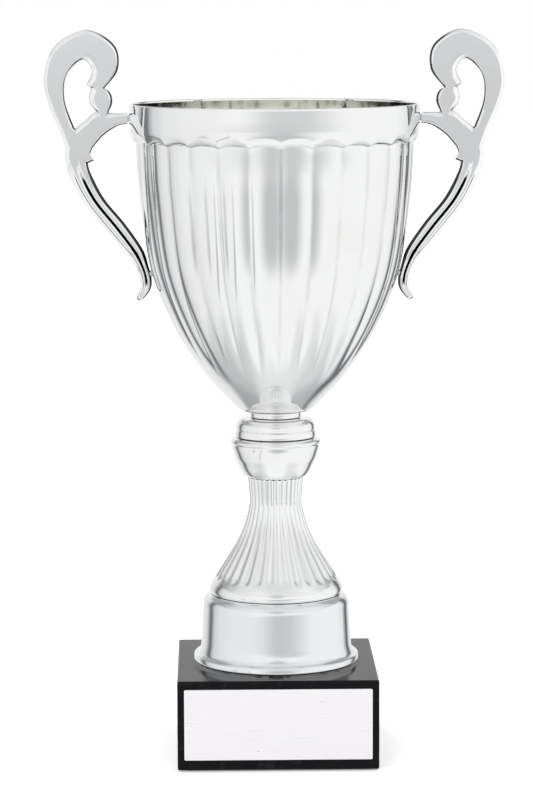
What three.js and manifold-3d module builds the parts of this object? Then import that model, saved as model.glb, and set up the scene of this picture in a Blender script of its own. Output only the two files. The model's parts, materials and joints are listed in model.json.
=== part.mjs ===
// A two-handled cup trophy on a marble block. Millimetres, +Z up, the engraved plate faces -Y.
// The origin is the centre of the underside.
import * as THREE from "three";
import { mergeVertices } from "three/addons/utils/BufferGeometryUtils.js";
import Module from "manifold-3d";

const wasm = await Module();
wasm.setup();

// ---- Driving dimensions ----

const gap = 0.2; // between pieces that touch
const full = 2 * Math.PI;
const { degToRad } = THREE.MathUtils;

// Marble block, felt and plate
const marbleWidth = 80;
const marbleHeight = 36;
const marbleEdge = 0.8; // chamfer and corner radius
const feltThickness = 0.6;
const feltInset = 2.5;
const feltCorner = 2;
const plateWidth = 74.5;
const plateHeight = 28.4;
const plateThickness = 0.5;
const plateCorner = 0.6;
const plateBottom = 4.35; // above the block's underside
const adhesiveThickness = 0.3;
const adhesiveInset = 1;

// Tie rod and what clamps it
const rodRadius = 3;
const threadClearance = 0.15;
const boreRadius = 3.4; // clearance around the rod
const recessRadius = 12;
const recessDepth = 12;
const nutAcross = 10; // across the flats
const nutHeight = 5;
const domeRadius = 4.7;
const steelWasherRadius = 9;
const steelWasherThickness = 1.6;
const sealRadius = 10;
const sealThickness = 1;
const rodPastNut = 1.5;

// Heights above the marble
const gasketTop = 0.8;
const flangeBottom = 1;
const skirtDeck = 28.7; // top of the foot's skirt
const bellBottom = skirtDeck + gap;
const bellTop = 75.6;
const bulbBottom = bellTop + gap;
const bulbTop = 91.9;
const capBottom = bulbTop + gap;
const capTop = 99.8;
const collarTop = 102.2;
const bowlBottom = collarTop + gap;
const bowlFloor = 104.4; // inside the bowl
const bandBottom = 212.3;
const bowlTop = 225.7;

// Turned walls
const footWall = 1.8;
const bellWall = 2;
const bowlWall = 1.3;
const deckInner = 16; // the opening in the deck of the foot
const gasketInner = 26;
const gasketRadius = 32.4;

// Flutes
const fluteCount = 28;
const bowlFluteSteps = 4; // flat steps across a flute
const bellFluteSteps = 2;
const bowlFluteDepth = 0.9;
const bellFluteDepth = 0.055; // as a share of the stem's radius
const bowlFluteTurn = degToRad(-5.1); // the crest nearest the front
const bellFluteTurn = degToRad(0.6);
const bandRadius = 57.9;
const scallopHeight = 1.3; // along the band's lower edge

// Handles and their screws
const handleThickness = 5;
const handleEdge = 0.5;
const screwRadius = 1.25;
const screwHoleRadius = 1.45;
const screwHoleSpare = 0.3; // the hole is this much deeper than its screw
const upperScrewLength = 6.5; // beyond the bowl's outside
const lowerScrewLength = 2.9;
const screwHeadRadius = 2.4;
const screwHeadHeight = 1.6;
const screwWasherRadius = 3.1;
const screwWasherThickness = 0.5;
const upperScrewHeight = 219.9;
const lowerScrewHeight = 158;
const lowerScrewRadius = 49.4; // where the lower screw leaves the bowl
const lowerScrewDip = degToRad(19); // the bowl's wall leans out this much there

const marbleTop = feltThickness + marbleHeight;

// ---- Materials ----

const finish = (color, roughness, metalness) => ({ color, roughness, metalness });
const polished = finish(0xd9dbdc, 0.08, 1);
const steel = finish(0xb4b6b8, 0.3, 1);
const brushed = finish(0xdcdce2, 0.35, 1);
const marble = finish(0x0c0c0d, 0.12, 0);
const felt = finish(0x1a1c1b, 1, 0);
const rubber = finish(0x101010, 0.8, 0);
const adhesive = finish(0xe6e2d2, 0.8, 0);
const fibre = finish(0x7c2f24, 0.8, 0);

const trophy = new THREE.Group();

function place(name, geometry, look, parent = trophy) {
  const mesh = new THREE.Mesh(geometry, new THREE.MeshStandardMaterial(look));
  mesh.name = name;
  parent.add(mesh);
}

// ---- Cuts and joins ----

function toSolid(geometry) {
  const bare = geometry.clone();
  bare.deleteAttribute("normal");
  bare.deleteAttribute("uv");
  const merged = mergeVertices(bare, 1e-3);
  return new wasm.Manifold(
    new wasm.Mesh({
      numProp: 3,
      vertProperties: merged.attributes.position.array,
      triVerts: new Uint32Array(merged.index.array),
    }),
  );
}

function toGeometry(solid) {
  const mesh = solid.getMesh();
  const geometry = new THREE.BufferGeometry();
  geometry.setAttribute("position", new THREE.BufferAttribute(mesh.vertProperties, 3));
  geometry.setIndex(new THREE.BufferAttribute(mesh.triVerts, 1));
  geometry.computeVertexNormals();
  return geometry;
}

function cut(geometry, tools) {
  const left = tools.reduce((solid, tool) => solid.subtract(toSolid(tool)), toSolid(geometry));
  return toGeometry(left);
}

// ---- Shapes ----

// A closed profile of [radius, height] points, turned about Z. It runs up the outside and down the inside.
function turned(points, segments = 40) {
  const closed = [...points, points[0]].map(([r, z]) => new THREE.Vector2(r, z));
  return new THREE.LatheGeometry(closed, segments).rotateX(Math.PI / 2);
}

// The same, with a crest or a hollow repeated around it. A point is [radius, height, depth, scallop]:
// the shape is depth smaller between crests, and scallop higher on a crest.
function fluted(points, steps, turn) {
  const geometry = turned(points, fluteCount * steps);
  const position = geometry.getAttribute("position");
  const rows = points.length + 1;
  for (let i = 0; i < position.count; i += 1) {
    const [radius, height, depth = 0, scallop = 0] = points[(i % rows) % points.length];
    const step = Math.floor(i / rows) % steps;
    const away = (2 * Math.min(step, steps - step)) / steps; // 0 on a crest, 1 between two
    const scale = 1 - (depth * away ** 2) / radius;
    position.setXYZ(
      i,
      position.getX(i) * scale,
      position.getY(i) * scale,
      height + scallop * (0.5 - away ** 2),
    );
  }
  return geometry.rotateZ(turn);
}

function ring(inner, outer, bottom, top, segments = 32) {
  return turned(
    [
      [inner, bottom],
      [outer, bottom],
      [outer, top],
      [inner, top],
    ],
    segments,
  );
}

// An upright cylinder between two heights.
function upright(radius, bottom, top, segments = 24) {
  return new THREE.CylinderGeometry(radius, radius, top - bottom, segments)
    .rotateX(Math.PI / 2)
    .translate(0, 0, (bottom + top) / 2);
}

// Points along a smooth curve through a few [radius, height] points.
function smooth(points, count) {
  const curve = new THREE.SplineCurve(points.map(([r, z]) => new THREE.Vector2(r, z)));
  return curve.getPoints(count).map((p) => [p.x, p.y]);
}

// Points of a round corner about a centre, between two angles in degrees.
function corner(radius, height, size, from, to, count = 3) {
  return Array.from({ length: count + 1 }, (_, i) => {
    const angle = degToRad(from + ((to - from) * i) / count);
    return [radius + size * Math.cos(angle), height + size * Math.sin(angle)];
  });
}

// An open profile moved inwards by a wall, and listed the other way round.
function inside(points, thickness) {
  const moved = points.map(([r, z], i) => {
    const [r0, z0] = points[Math.max(i - 1, 0)];
    const [r1, z1] = points[Math.min(i + 1, points.length - 1)];
    const length = Math.hypot(r1 - r0, z1 - z0);
    return [r - (thickness * (z1 - z0)) / length, z + (thickness * (r1 - r0)) / length];
  });
  return moved.reverse();
}

const overMarble = (geometry) => geometry.translate(0, 0, marbleTop);

function roundedRectangle(width, height, radius) {
  const x = width / 2 - radius;
  const y = height / 2 - radius;
  const shape = new THREE.Shape();
  shape.absarc(x, y, radius, 0, Math.PI / 2);
  shape.absarc(-x, y, radius, Math.PI / 2, Math.PI);
  shape.absarc(-x, -y, radius, Math.PI, 1.5 * Math.PI);
  shape.absarc(x, -y, radius, 1.5 * Math.PI, full);
  shape.closePath();
  return shape;
}

function sheet(width, height, radius, thickness) {
  return new THREE.ExtrudeGeometry(roundedRectangle(width, height, radius), {
    depth: thickness,
    bevelEnabled: false,
    curveSegments: 3,
  });
}

// ---- Block, felt and plate ----

function marbleBlock() {
  const core = marbleWidth - 2 * marbleEdge;
  const block = new THREE.ExtrudeGeometry(roundedRectangle(core, core, marbleEdge), {
    depth: marbleHeight - 2 * marbleEdge,
    bevelThickness: marbleEdge,
    bevelSize: marbleEdge,
    bevelSegments: 2,
    curveSegments: 3,
  }).translate(0, 0, feltThickness + marbleEdge);
  return cut(block, [
    upright(boreRadius, feltThickness - 1, marbleTop + 1),
    upright(recessRadius, feltThickness - 1, feltThickness + recessDepth),
  ]);
}

// A sheet on the block's front, at a distance from the marble.
function frontSheet(inset, thickness, distance) {
  return sheet(plateWidth - 2 * inset, plateHeight - 2 * inset, plateCorner, thickness)
    .rotateX(Math.PI / 2)
    .translate(0, -marbleWidth / 2 - distance, feltThickness + plateBottom + plateHeight / 2);
}

const feltWidth = marbleWidth - 2 * feltInset;
place("marble_base", marbleBlock(), marble);
place("felt_pad", sheet(feltWidth, feltWidth, feltCorner, feltThickness), felt);
place("plate_adhesive", frontSheet(adhesiveInset, adhesiveThickness, 0), adhesive);
place("engraving_plate", frontSheet(0, plateThickness, adhesiveThickness), brushed);

// ---- Tie rod, nuts and washers ----

function hexagonPrism(bottom) {
  const shape = new THREE.Shape();
  const radius = nutAcross / Math.sqrt(3);
  for (let i = 0; i < 6; i += 1) {
    const angle = (i * full) / 6;
    shape.lineTo(radius * Math.cos(angle), radius * Math.sin(angle));
  }
  shape.closePath();
  return new THREE.ExtrudeGeometry(shape, { depth: nutHeight, bevelEnabled: false }).translate(0, 0, bottom);
}

function hexNut(bottom) {
  return cut(hexagonPrism(bottom), [
    upright(rodRadius + threadClearance, bottom - 1, bottom + nutHeight + 1),
  ]);
}

function domeNut(bottom) {
  const dome = new THREE.SphereGeometry(domeRadius, 18, 10)
    .rotateX(Math.PI / 2)
    .translate(0, 0, bottom + nutHeight);
  const joined = toGeometry(toSolid(hexagonPrism(bottom)).add(toSolid(dome)));
  const bore = upright(rodRadius + threadClearance, bottom - 1, bottom + nutHeight + 2);
  const below = upright(nutAcross, bottom - nutAcross, bottom);
  return cut(joined, [bore, below]);
}

const washerTop = feltThickness + recessDepth - gap;
const washerBottom = washerTop - steelWasherThickness;
const nutBottom = washerBottom - gap - nutHeight;
const sealBottom = marbleTop + bowlFloor + gap;
const bowlWasherBottom = sealBottom + sealThickness + gap;
const capNutBottom = bowlWasherBottom + steelWasherThickness + gap;
place("base_washer", ring(boreRadius, steelWasherRadius, washerBottom, washerTop), steel);
place("base_nut", hexNut(nutBottom), steel);
place("bowl_seal", ring(boreRadius, sealRadius, sealBottom, sealBottom + sealThickness), fibre);
place(
  "bowl_washer",
  ring(boreRadius, steelWasherRadius, bowlWasherBottom, bowlWasherBottom + steelWasherThickness),
  steel,
);
place("cap_nut", domeNut(capNutBottom), steel);
place("tie_rod", upright(rodRadius, nutBottom - rodPastNut, capNutBottom + nutHeight + 1), steel);

// ---- Foot, stem and knob ----

// The foot is open below, and its deck holds up the bell.
function footSkirt() {
  return turned(
    [
      [31, flangeBottom],
      ...corner(32.8, flangeBottom + 0.5, 0.5, -90, 0, 2),
      ...corner(32.3, 2.6, 1, 0, 75, 3),
      [31.6, 3.9],
      [30.7, 5.6],
      [30.3, 8.4],
      [29.6, 23.2],
      ...corner(24.8, 23.7, 4.8, 10, 60, 4),
      [deckInner, skirtDeck - 0.1],
      [deckInner, skirtDeck - 0.1 - footWall],
      [26, skirtDeck - 0.1 - footWall],
      [27.8, 23],
      [28.4, 8.4],
    ],
    56,
  );
}

// The stem flares down to a smooth shoulder. Each point is [radius, height, share of the full flute depth].
function stemBell() {
  const depth = (radius, share) => radius * bellFluteDepth * share;
  const stretch = (points, count) => smooth(points, count).map(([r, z]) => [r, z, depth(r, 1)]);
  const shoulder = [
    [26.6, bellBottom],
    [26.8, bellBottom + 1.4],
    [26.1, 32],
    [25.3, 33.6],
  ];
  const flare = [
    [24.5, 35.2],
    [20.1, 41.9],
    [15.6, 49.4],
    [12.4, 56.8],
    [10.6, 64.5],
    [10.7, 70],
    [11.3, bellTop],
  ];
  const cavity = [
    [boreRadius, bellTop],
    [boreRadius, bellTop - 8],
    [8.4, 64],
    [16, 43],
    [24.2, bellBottom],
  ];
  return fluted([...shoulder, ...stretch(flare, 8), ...cavity], bellFluteSteps, bellFluteTurn);
}

function knopBulb() {
  return turned([
    [boreRadius, bulbBottom],
    [11.8, bulbBottom],
    [13.4, bulbBottom + 1.2],
    [14.4, 78.9],
    [16.6, 83.8],
    [17.6, 87.4],
    [17.7, 88.8],
    ...corner(17.1, 90.2, 1.1, -45, 70, 4),
    [15.6, bulbTop],
    [boreRadius, bulbTop],
  ], 48);
}

function knopCap() {
  return turned([
    [boreRadius, capBottom],
    [16, capBottom],
    [16.4, 92.8],
    [16, 95.2],
    [15.7, 95.5],
    ...corner(12.2, 96.2, 3.5, 0, 80, 4),
    [11, capTop],
    [boreRadius, capTop],
  ], 48);
}

place("foot_gasket", overMarble(ring(gasketInner, gasketRadius, gap, gasketTop, 48)), rubber);
place("foot_skirt", overMarble(footSkirt()), polished);
place("stem_bell", overMarble(stemBell()), polished);
place("knop_bulb", overMarble(knopBulb()), polished);
place("knop_cap", overMarble(knopCap()), polished);
place("neck_collar", overMarble(ring(boreRadius, 10.4, capTop + gap, collarTop)), polished);

// ---- Bowl ----

function bowlBlank() {
  const base = [
    [boreRadius, bowlBottom],
    [12.6, bowlBottom],
    [14.7, 103],
  ];
  const body = [
    [16.1, 104.4],
    [28.6, 118],
    [41, 137.4],
    [49.9, 160.3],
    [54.3, 190],
    [55.6, 210.6],
  ];
  // The flutes start below the belly and are full above it.
  const depth = (z) => bowlFluteDepth * THREE.MathUtils.smoothstep(z, 117, 136);
  const flutes = (points) => points.map(([r, z]) => [r, z, depth(z)]);
  const outer = flutes(smooth(body, 9));
  const top = outer[outer.length - 1];
  top[3] = scallopHeight;
  const band = [
    [57, bandBottom, 0, scallopHeight],
    [57.7, 214.8],
    [bandRadius, 217],
    [bandRadius, bowlTop - 0.4],
    [bandRadius - 0.4, bowlTop],
    [bandRadius - bowlWall, bowlTop],
    [bandRadius - bowlWall, 216],
  ];
  const floor = [
    [14, bowlFloor],
    [boreRadius, bowlFloor],
  ];
  const inner = flutes(inside(smooth(body, 6).slice(1), bowlWall));
  return fluted([...base, ...outer, ...band, ...inner, ...floor], bowlFluteSteps, bowlFluteTurn);
}

// ---- Handles and their screws, seen as the one on +X ----

// A place on the bowl's outside with its own axis, which points outwards along +Z.
const toUpperScrew = new THREE.Matrix4()
  .makeTranslation(bandRadius, 0, upperScrewHeight)
  .multiply(new THREE.Matrix4().makeRotationY(Math.PI / 2));
const toLowerScrew = new THREE.Matrix4()
  .makeTranslation(lowerScrewRadius, 0, lowerScrewHeight)
  .multiply(new THREE.Matrix4().makeRotationY(Math.PI / 2 + lowerScrewDip));
const halfTurn = new THREE.Matrix4().makeRotationZ(Math.PI);

function handleOutline() {
  const outline = new THREE.Shape();
  const along = (...points) => outline.splineThru(points.map(([x, z]) => new THREE.Vector2(x, z)));
  outline.moveTo(58.4, 217.7);
  along([62.5, 216.8], [68, 213], [72.1, 208]); // underside of the arm
  along([71.4, 204.2], [71.3, 203.1]); // nib
  outline.lineTo(74, 201.9);
  along([73.3, 198.4], [68, 188.1], [59.8, 178], [52.9, 167.9], [50.7, 161.4], [49.3, 155.3]); // inside of the leg
  along([49.6, 152], [52.5, 147.7]);
  along([54.4, 147.3], [55.3, 148.6]); // toe
  along([53.9, 154.4], [56.2, 161.7], [64.3, 171.4], [75.7, 185.7], [82, 198], [83.6, 205]); // outside of the leg
  outline.lineTo(83.1, 208);
  along([85, 214], [89.4, 225], [91.4, 236.6], [86.8, 248.9], [74.3, 254.9], [63.4, 249], [62, 239.4], [67.4, 231.9]);
  along([64.4, 228.4], [65.3, 222.1]); // bead
  outline.lineTo(58.4, 222.1);
  outline.closePath();

  const eye = new THREE.Path();
  const round = (...points) => eye.splineThru(points.map(([x, z]) => new THREE.Vector2(x, z)));
  eye.moveTo(79.4, 216);
  round([83.2, 227], [82.4, 237], [76.3, 243.2], [72.3, 239], [74.6, 233.4]);
  round([73.2, 228.5], [70.9, 222.6]);
  round([75.6, 219], [79.4, 216]);
  outline.holes.push(eye);
  return outline;
}

const hole = (depth, frame) => upright(screwHoleRadius, -5, depth, 16).applyMatrix4(frame);

function handle() {
  const body = new THREE.ExtrudeGeometry(handleOutline(), {
    depth: handleThickness - 2 * handleEdge,
    bevelThickness: handleEdge,
    bevelSize: handleEdge,
    bevelOffset: -handleEdge,
    bevelSegments: 1,
    curveSegments: 3,
  })
    .translate(0, 0, handleEdge - handleThickness / 2)
    .rotateX(Math.PI / 2);
  return cut(body, [
    hole(upperScrewLength + screwHoleSpare, toUpperScrew),
    hole(lowerScrewLength + screwHoleSpare, toLowerScrew),
  ]);
}

// A pan head screw whose head is below the origin.
function screw(length, headTop) {
  const profile = [
    [0, headTop - screwHeadHeight],
    ...corner(screwHeadRadius - 0.8, headTop - screwHeadHeight + 0.8, 0.8, -90, 0),
    [screwHeadRadius, headTop],
    [screwRadius, headTop],
    [screwRadius, length - 0.4],
    [screwRadius - 0.4, length],
    [0, length],
  ];
  return new THREE.LatheGeometry(profile.map(([r, z]) => new THREE.Vector2(r, z)), 16).rotateX(Math.PI / 2);
}

function addHandle(side, turn) {
  const group = new THREE.Group();
  group.position.z = marbleTop;
  group.rotation.z = turn;
  trophy.add(group);
  place("handle_" + side, handle(), polished, group);
  // A flat washer touches the round wall at its edges, and the fluted wall at a hollow.
  const fixings = [
    ["upper", toUpperScrew, upperScrewLength, bowlWall + gap + 0.1],
    ["lower", toLowerScrew, lowerScrewLength, bowlWall + bowlFluteDepth + gap + 0.8],
  ];
  for (const [level, frame, length, depth] of fixings) {
    const washerFace = -depth;
    const headFace = washerFace - screwWasherThickness - gap;
    const washer = ring(screwHoleRadius, screwWasherRadius, washerFace - screwWasherThickness, washerFace, 20);
    place(`screw_${side}_${level}`, screw(length, headFace).applyMatrix4(frame), steel, group);
    place(`screw_washer_${side}_${level}`, washer.applyMatrix4(frame), steel, group);
  }
}

const rightHoles = [toUpperScrew, toLowerScrew].map((frame) => hole(5, frame));
const leftHoles = rightHoles.map((tool) => tool.clone().applyMatrix4(halfTurn));
place("bowl", overMarble(cut(bowlBlank(), [...rightHoles, ...leftHoles])), polished);
addHandle("right", 0);
addHandle("left", Math.PI);

export default trophy;
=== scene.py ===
"""The looks of a two-handled cup trophy: a fluted cup on a flaring stem, bolted to a black marble block.

Lengths are metres. Sizes written in millimetres are multiplied by MM, and heights of the cup's own pieces are
measured from the top of the marble.
"""

import json
import logging
import math
from collections.abc import Callable, Iterator, Sequence
from contextlib import contextmanager
from dataclasses import asdict, dataclass
from enum import Enum

import bmesh
import bpy
from mathutils import Matrix, Vector

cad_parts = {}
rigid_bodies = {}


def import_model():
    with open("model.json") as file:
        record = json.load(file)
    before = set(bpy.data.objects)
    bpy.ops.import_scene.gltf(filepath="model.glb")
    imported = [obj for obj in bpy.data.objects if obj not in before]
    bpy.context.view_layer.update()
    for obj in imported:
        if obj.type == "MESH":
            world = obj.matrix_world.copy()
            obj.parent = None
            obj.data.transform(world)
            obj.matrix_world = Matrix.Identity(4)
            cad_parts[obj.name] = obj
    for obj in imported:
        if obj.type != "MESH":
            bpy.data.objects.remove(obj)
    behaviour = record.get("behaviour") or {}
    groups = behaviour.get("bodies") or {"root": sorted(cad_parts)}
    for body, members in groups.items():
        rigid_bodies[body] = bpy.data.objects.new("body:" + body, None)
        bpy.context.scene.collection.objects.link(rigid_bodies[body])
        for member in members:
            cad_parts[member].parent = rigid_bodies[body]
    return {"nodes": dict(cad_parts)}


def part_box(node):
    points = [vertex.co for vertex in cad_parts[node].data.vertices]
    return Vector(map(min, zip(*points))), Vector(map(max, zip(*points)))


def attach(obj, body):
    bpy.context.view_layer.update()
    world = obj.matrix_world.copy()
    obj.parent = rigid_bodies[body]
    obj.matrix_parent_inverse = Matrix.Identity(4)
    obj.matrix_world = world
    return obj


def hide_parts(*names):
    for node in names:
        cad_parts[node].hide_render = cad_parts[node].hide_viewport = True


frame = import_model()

log = logging.getLogger("trophy")

MM = 0.001
BODY = "root"
ROD_HOLE = 3.4
FLUTES = 28
CUP_TURN = math.radians(-5.1)
STEM_TURN = math.radians(0.6)
PARTING_ANGLE = math.radians(21.0)
Point = tuple[float, float]
Colour = tuple[float, float, float]
Stops = tuple[tuple[float, float], ...]


# ---- The bench: selecting, shaping and finishing one piece at a time ----


class Domain(Enum):
    """What a test in edit mode is put to."""

    VERTICES = "VERT"
    EDGES = "EDGE"


def take(piece: bpy.types.Object) -> None:
    """Makes a piece the only selected one, and the active one.

    Args:
        piece: the object to work on.
    """
    for other in bpy.context.view_layer.objects:
        other.select_set(False)
    piece.select_set(True)
    bpy.context.view_layer.objects.active = piece


def add_primitive(name: str, operator: Callable[..., set], **settings: object) -> bpy.types.Object:
    """Adds a primitive with nothing else selected, and puts its place into its mesh.

    Args:
        name: the new piece's name.
        operator: the primitive's operator, such as bpy.ops.mesh.primitive_cube_add.
        **settings: the operator's own settings.

    Returns:
        The new object, at the origin, unturned and unscaled.
    """
    for other in bpy.context.view_layer.objects:
        other.select_set(False)
    operator(**settings)
    piece = bpy.context.object
    piece.name = name
    piece.data.name = name
    take(piece)
    bpy.ops.object.transform_apply(location=True, rotation=True, scale=True)
    return piece


@contextmanager
def editing(piece: bpy.types.Object, mode: Domain = Domain.VERTICES) -> Iterator[None]:
    """Keeps a piece in edit mode, with nothing selected at the start.

    Args:
        piece: the object to edit.
        mode: what the selection is made of.
    """
    take(piece)
    bpy.ops.object.mode_set(mode="EDIT")
    bpy.ops.mesh.select_mode(type=mode.value)
    bpy.ops.mesh.select_all(action="DESELECT")
    try:
        yield
    finally:
        bpy.ops.object.mode_set(mode="OBJECT")


def apply_modifier(piece: bpy.types.Object, kind: str, **settings: object) -> None:
    """Adds a modifier and applies it.

    Args:
        piece: the object to change.
        kind: the modifier's type.
        **settings: the modifier's own settings.
    """
    take(piece)
    bpy.ops.object.modifier_add(type=kind)
    modifier = piece.modifiers[-1]
    for name, value in settings.items():
        setattr(modifier, name, value)
    bpy.ops.object.modifier_apply(modifier=modifier.name)


def combine(piece: bpy.types.Object, tool: bpy.types.Object, operation: str) -> None:
    """Cuts a piece with a tool or joins the tool to it, and removes the tool.

    Args:
        piece: the object to change.
        tool: the object to use up.
        operation: DIFFERENCE, UNION or INTERSECT.
    """
    apply_modifier(piece, "BOOLEAN", operation=operation, object=tool, solver="EXACT")
    bpy.data.objects.remove(tool)


def close_up(piece: bpy.types.Object, threshold: float = 1e-6) -> None:
    """Merges a piece's doubles and turns its faces outwards.

    Args:
        piece: the object to mend.
        threshold: how far apart two doubles may be.
    """
    with editing(piece):
        bpy.ops.mesh.select_all(action="SELECT")
        bpy.ops.mesh.remove_doubles(threshold=threshold)
        bpy.ops.mesh.normals_make_consistent(inside=False)


def shade(piece: bpy.types.Object, degrees: float = 30.0, flat_faces: bool = False) -> None:
    """Shades a piece smooth, apart from edges sharper than an angle.

    Args:
        piece: the object to shade.
        degrees: the sharpest angle that is still smooth.
        flat_faces: whether its large faces stay flat right up to their rounded edges.
    """
    take(piece)
    bpy.ops.object.shade_smooth_by_angle(angle=math.radians(degrees))
    if flat_faces:
        apply_modifier(piece, "WEIGHTED_NORMAL", weight=100, keep_sharp=True)


def weigh(piece: bpy.types.Object, name: str, weight: Callable[[Vector], float]) -> None:
    """Paints a vertex group by place.

    Args:
        piece: the object whose vertices are weighed.
        name: the group's name.
        weight: takes a vertex's place, and gives a share from 0 to 1.
    """
    group = piece.vertex_groups.new(name=name)
    for vertex in piece.data.vertices:
        share = weight(vertex.co)
        if share > 0:
            group.add([vertex.index], share, "REPLACE")


def hand_over(piece: bpy.types.Object, node: str, material: bpy.types.Material) -> None:
    """Dresses a finished piece and lets it stand for its solid.

    Args:
        piece: the finished object.
        node: the solid that it stands for.
        material: the finish.
    """
    piece.vertex_groups.clear()
    piece.data.materials.clear()
    piece.data.materials.append(material)
    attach(piece, BODY)
    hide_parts(node)
    log.info("%s: %d faces", piece.name, len(piece.data.polygons))


# ---- Outlines ----


def curve(points: Sequence[Point], count: int) -> list[Point]:
    """Points along a smooth curve through a few points.

    Args:
        points: what the curve passes through.
        count: how many steps the curve is cut into.

    Returns:
        count + 1 points, the ends among them.
    """
    last = len(points) - 1
    found = []
    for step in range(count + 1):
        place = last * step / count
        i = min(int(place), last - 1)
        t = place - i
        before, here = points[max(i - 1, 0)], points[i]
        there, after = points[i + 1], points[min(i + 2, last)]
        found.append(tuple(
            0.5 * (
                2 * b
                + (c - a) * t
                + (2 * a - 5 * b + 4 * c - d) * t**2
                + (3 * b - a - 3 * c + d) * t**3
            )
            for a, b, c, d in zip(before, here, there, after)
        ))
    return found


def arc(centre: Point, size: float, start: float, end: float, count: int = 6) -> list[Point]:
    """Points of a round corner.

    Args:
        centre: the corner's centre.
        size: its radius.
        start: the first angle, in degrees.
        end: the last angle, in degrees.
        count: how many steps it is cut into.

    Returns:
        count + 1 points, the ends among them.
    """
    angles = [math.radians(start + (end - start) * i / count) for i in range(count + 1)]
    return [(centre[0] + size * math.cos(a), centre[1] + size * math.sin(a)) for a in angles]


def smoothstep(value: float, low: float, high: float) -> float:
    """The share, from 0 to 1, that eases in between two values.

    Args:
        value: the value to judge.
        low: where the share is 0.
        high: where the share is 1.

    Returns:
        The eased share.
    """
    t = min(max((value - low) / (high - low), 0.0), 1.0)
    return t * t * (3 - 2 * t)


def turn(name: str, points: Sequence[Point], steps: int, base: float = 0.0) -> bpy.types.Object:
    """Turns a profile about the Z axis.

    Args:
        name: the new piece's name.
        points: (radius, height) in millimetres. A closed profile repeats its first point at the end.
        steps: how many columns there are around the piece.
        base: what the heights are measured from, in metres.

    Returns:
        The turned piece, merged and with its faces outwards.
    """
    first = (points[0][0] * MM, 0.0, base + points[0][1] * MM)
    piece = add_primitive(name, bpy.ops.mesh.primitive_plane_add, size=MM, location=first)
    with editing(piece):
        bpy.ops.mesh.select_all(action="SELECT")
        bpy.ops.mesh.merge(type="CENTER")
        for (r0, z0), (r1, z1) in zip(points, points[1:]):
            step = ((r1 - r0) * MM, 0.0, (z1 - z0) * MM)
            bpy.ops.mesh.extrude_vertices_move(TRANSFORM_OT_translate={"value": step})
        bpy.ops.mesh.select_all(action="SELECT")
        bpy.ops.mesh.spin(steps=steps, angle=math.tau, center=(0, 0, 0), axis=(0, 0, 1))
    close_up(piece)
    return piece


# ---- Node groups that several finishes share ----


class Graph:
    """Adds and links the nodes of one node tree."""

    def __init__(self, tree: bpy.types.NodeTree) -> None:
        """Starts on a tree.

        Args:
            tree: the tree that the nodes go into.
        """
        self.tree = tree

    def add(self, kind: str, inputs: dict | None = None, **settings: object) -> bpy.types.Node:
        """Adds a node.

        Args:
            kind: the node's type.
            inputs: the values or output sockets of its inputs, by name or number.
            **settings: the node's own settings.

        Returns:
            The new node.
        """
        node = self.tree.nodes.new(kind)
        for name, value in settings.items():
            setattr(node, name, value)
        for key, value in (inputs or {}).items():
            if isinstance(value, bpy.types.NodeSocket):
                self.tree.links.new(value, node.inputs[key])
            else:
                node.inputs[key].default_value = value
        return node

    def math(self, operation: str, *values: object) -> bpy.types.NodeSocket:
        """The result of a Math node.

        Args:
            operation: the node's operation.
            *values: numbers or output sockets.

        Returns:
            The node's output.
        """
        return self.add("ShaderNodeMath", dict(enumerate(values)), operation=operation).outputs[0]

    def remap(self, value: bpy.types.NodeSocket, low: float, high: float, to_low: float = 0.0,
              to_high: float = 1.0) -> bpy.types.NodeSocket:
        """A value brought from one range to another with soft ends.

        Args:
            value: the output to remap.
            low: the range's start.
            high: the range's end.
            to_low: what the start becomes.
            to_high: what the end becomes.

        Returns:
            The remapped output.
        """
        inputs = {"Value": value, "From Min": low, "From Max": high, "To Min": to_low, "To Max": to_high}
        return self.add("ShaderNodeMapRange", inputs, interpolation_type="SMOOTHSTEP").outputs[0]

    def blend(self, factor: object, first: object, second: object) -> bpy.types.NodeSocket:
        """Two colours mixed.

        Args:
            factor: a number or an output, 0 for the first colour.
            first: a colour or an output.
            second: a colour or an output.

        Returns:
            The mixed colour.
        """
        node = self.add("ShaderNodeMix", data_type="RGBA")
        places = {"Factor_Float": factor, "A_Color": first, "B_Color": second}
        for name, value in places.items():
            socket = next(s for s in node.inputs if s.identifier == name)
            if isinstance(value, bpy.types.NodeSocket):
                self.tree.links.new(value, socket)
            else:
                socket.default_value = value
        return next(s for s in node.outputs if s.identifier == "Result_Color")


class Effect(Enum):
    """The shared node groups."""

    WOBBLE = "soft_wobble"
    HAZE = "handling_haze"
    SCRATCHES = "fine_scratches"
    EDGE_WEAR = "edge_wear"
    BRUSHING = "brushing"
    PARTING_LINE = "parting_line"
    CREASES = "crease_residue"
    GRAIN = "grain"


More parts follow.
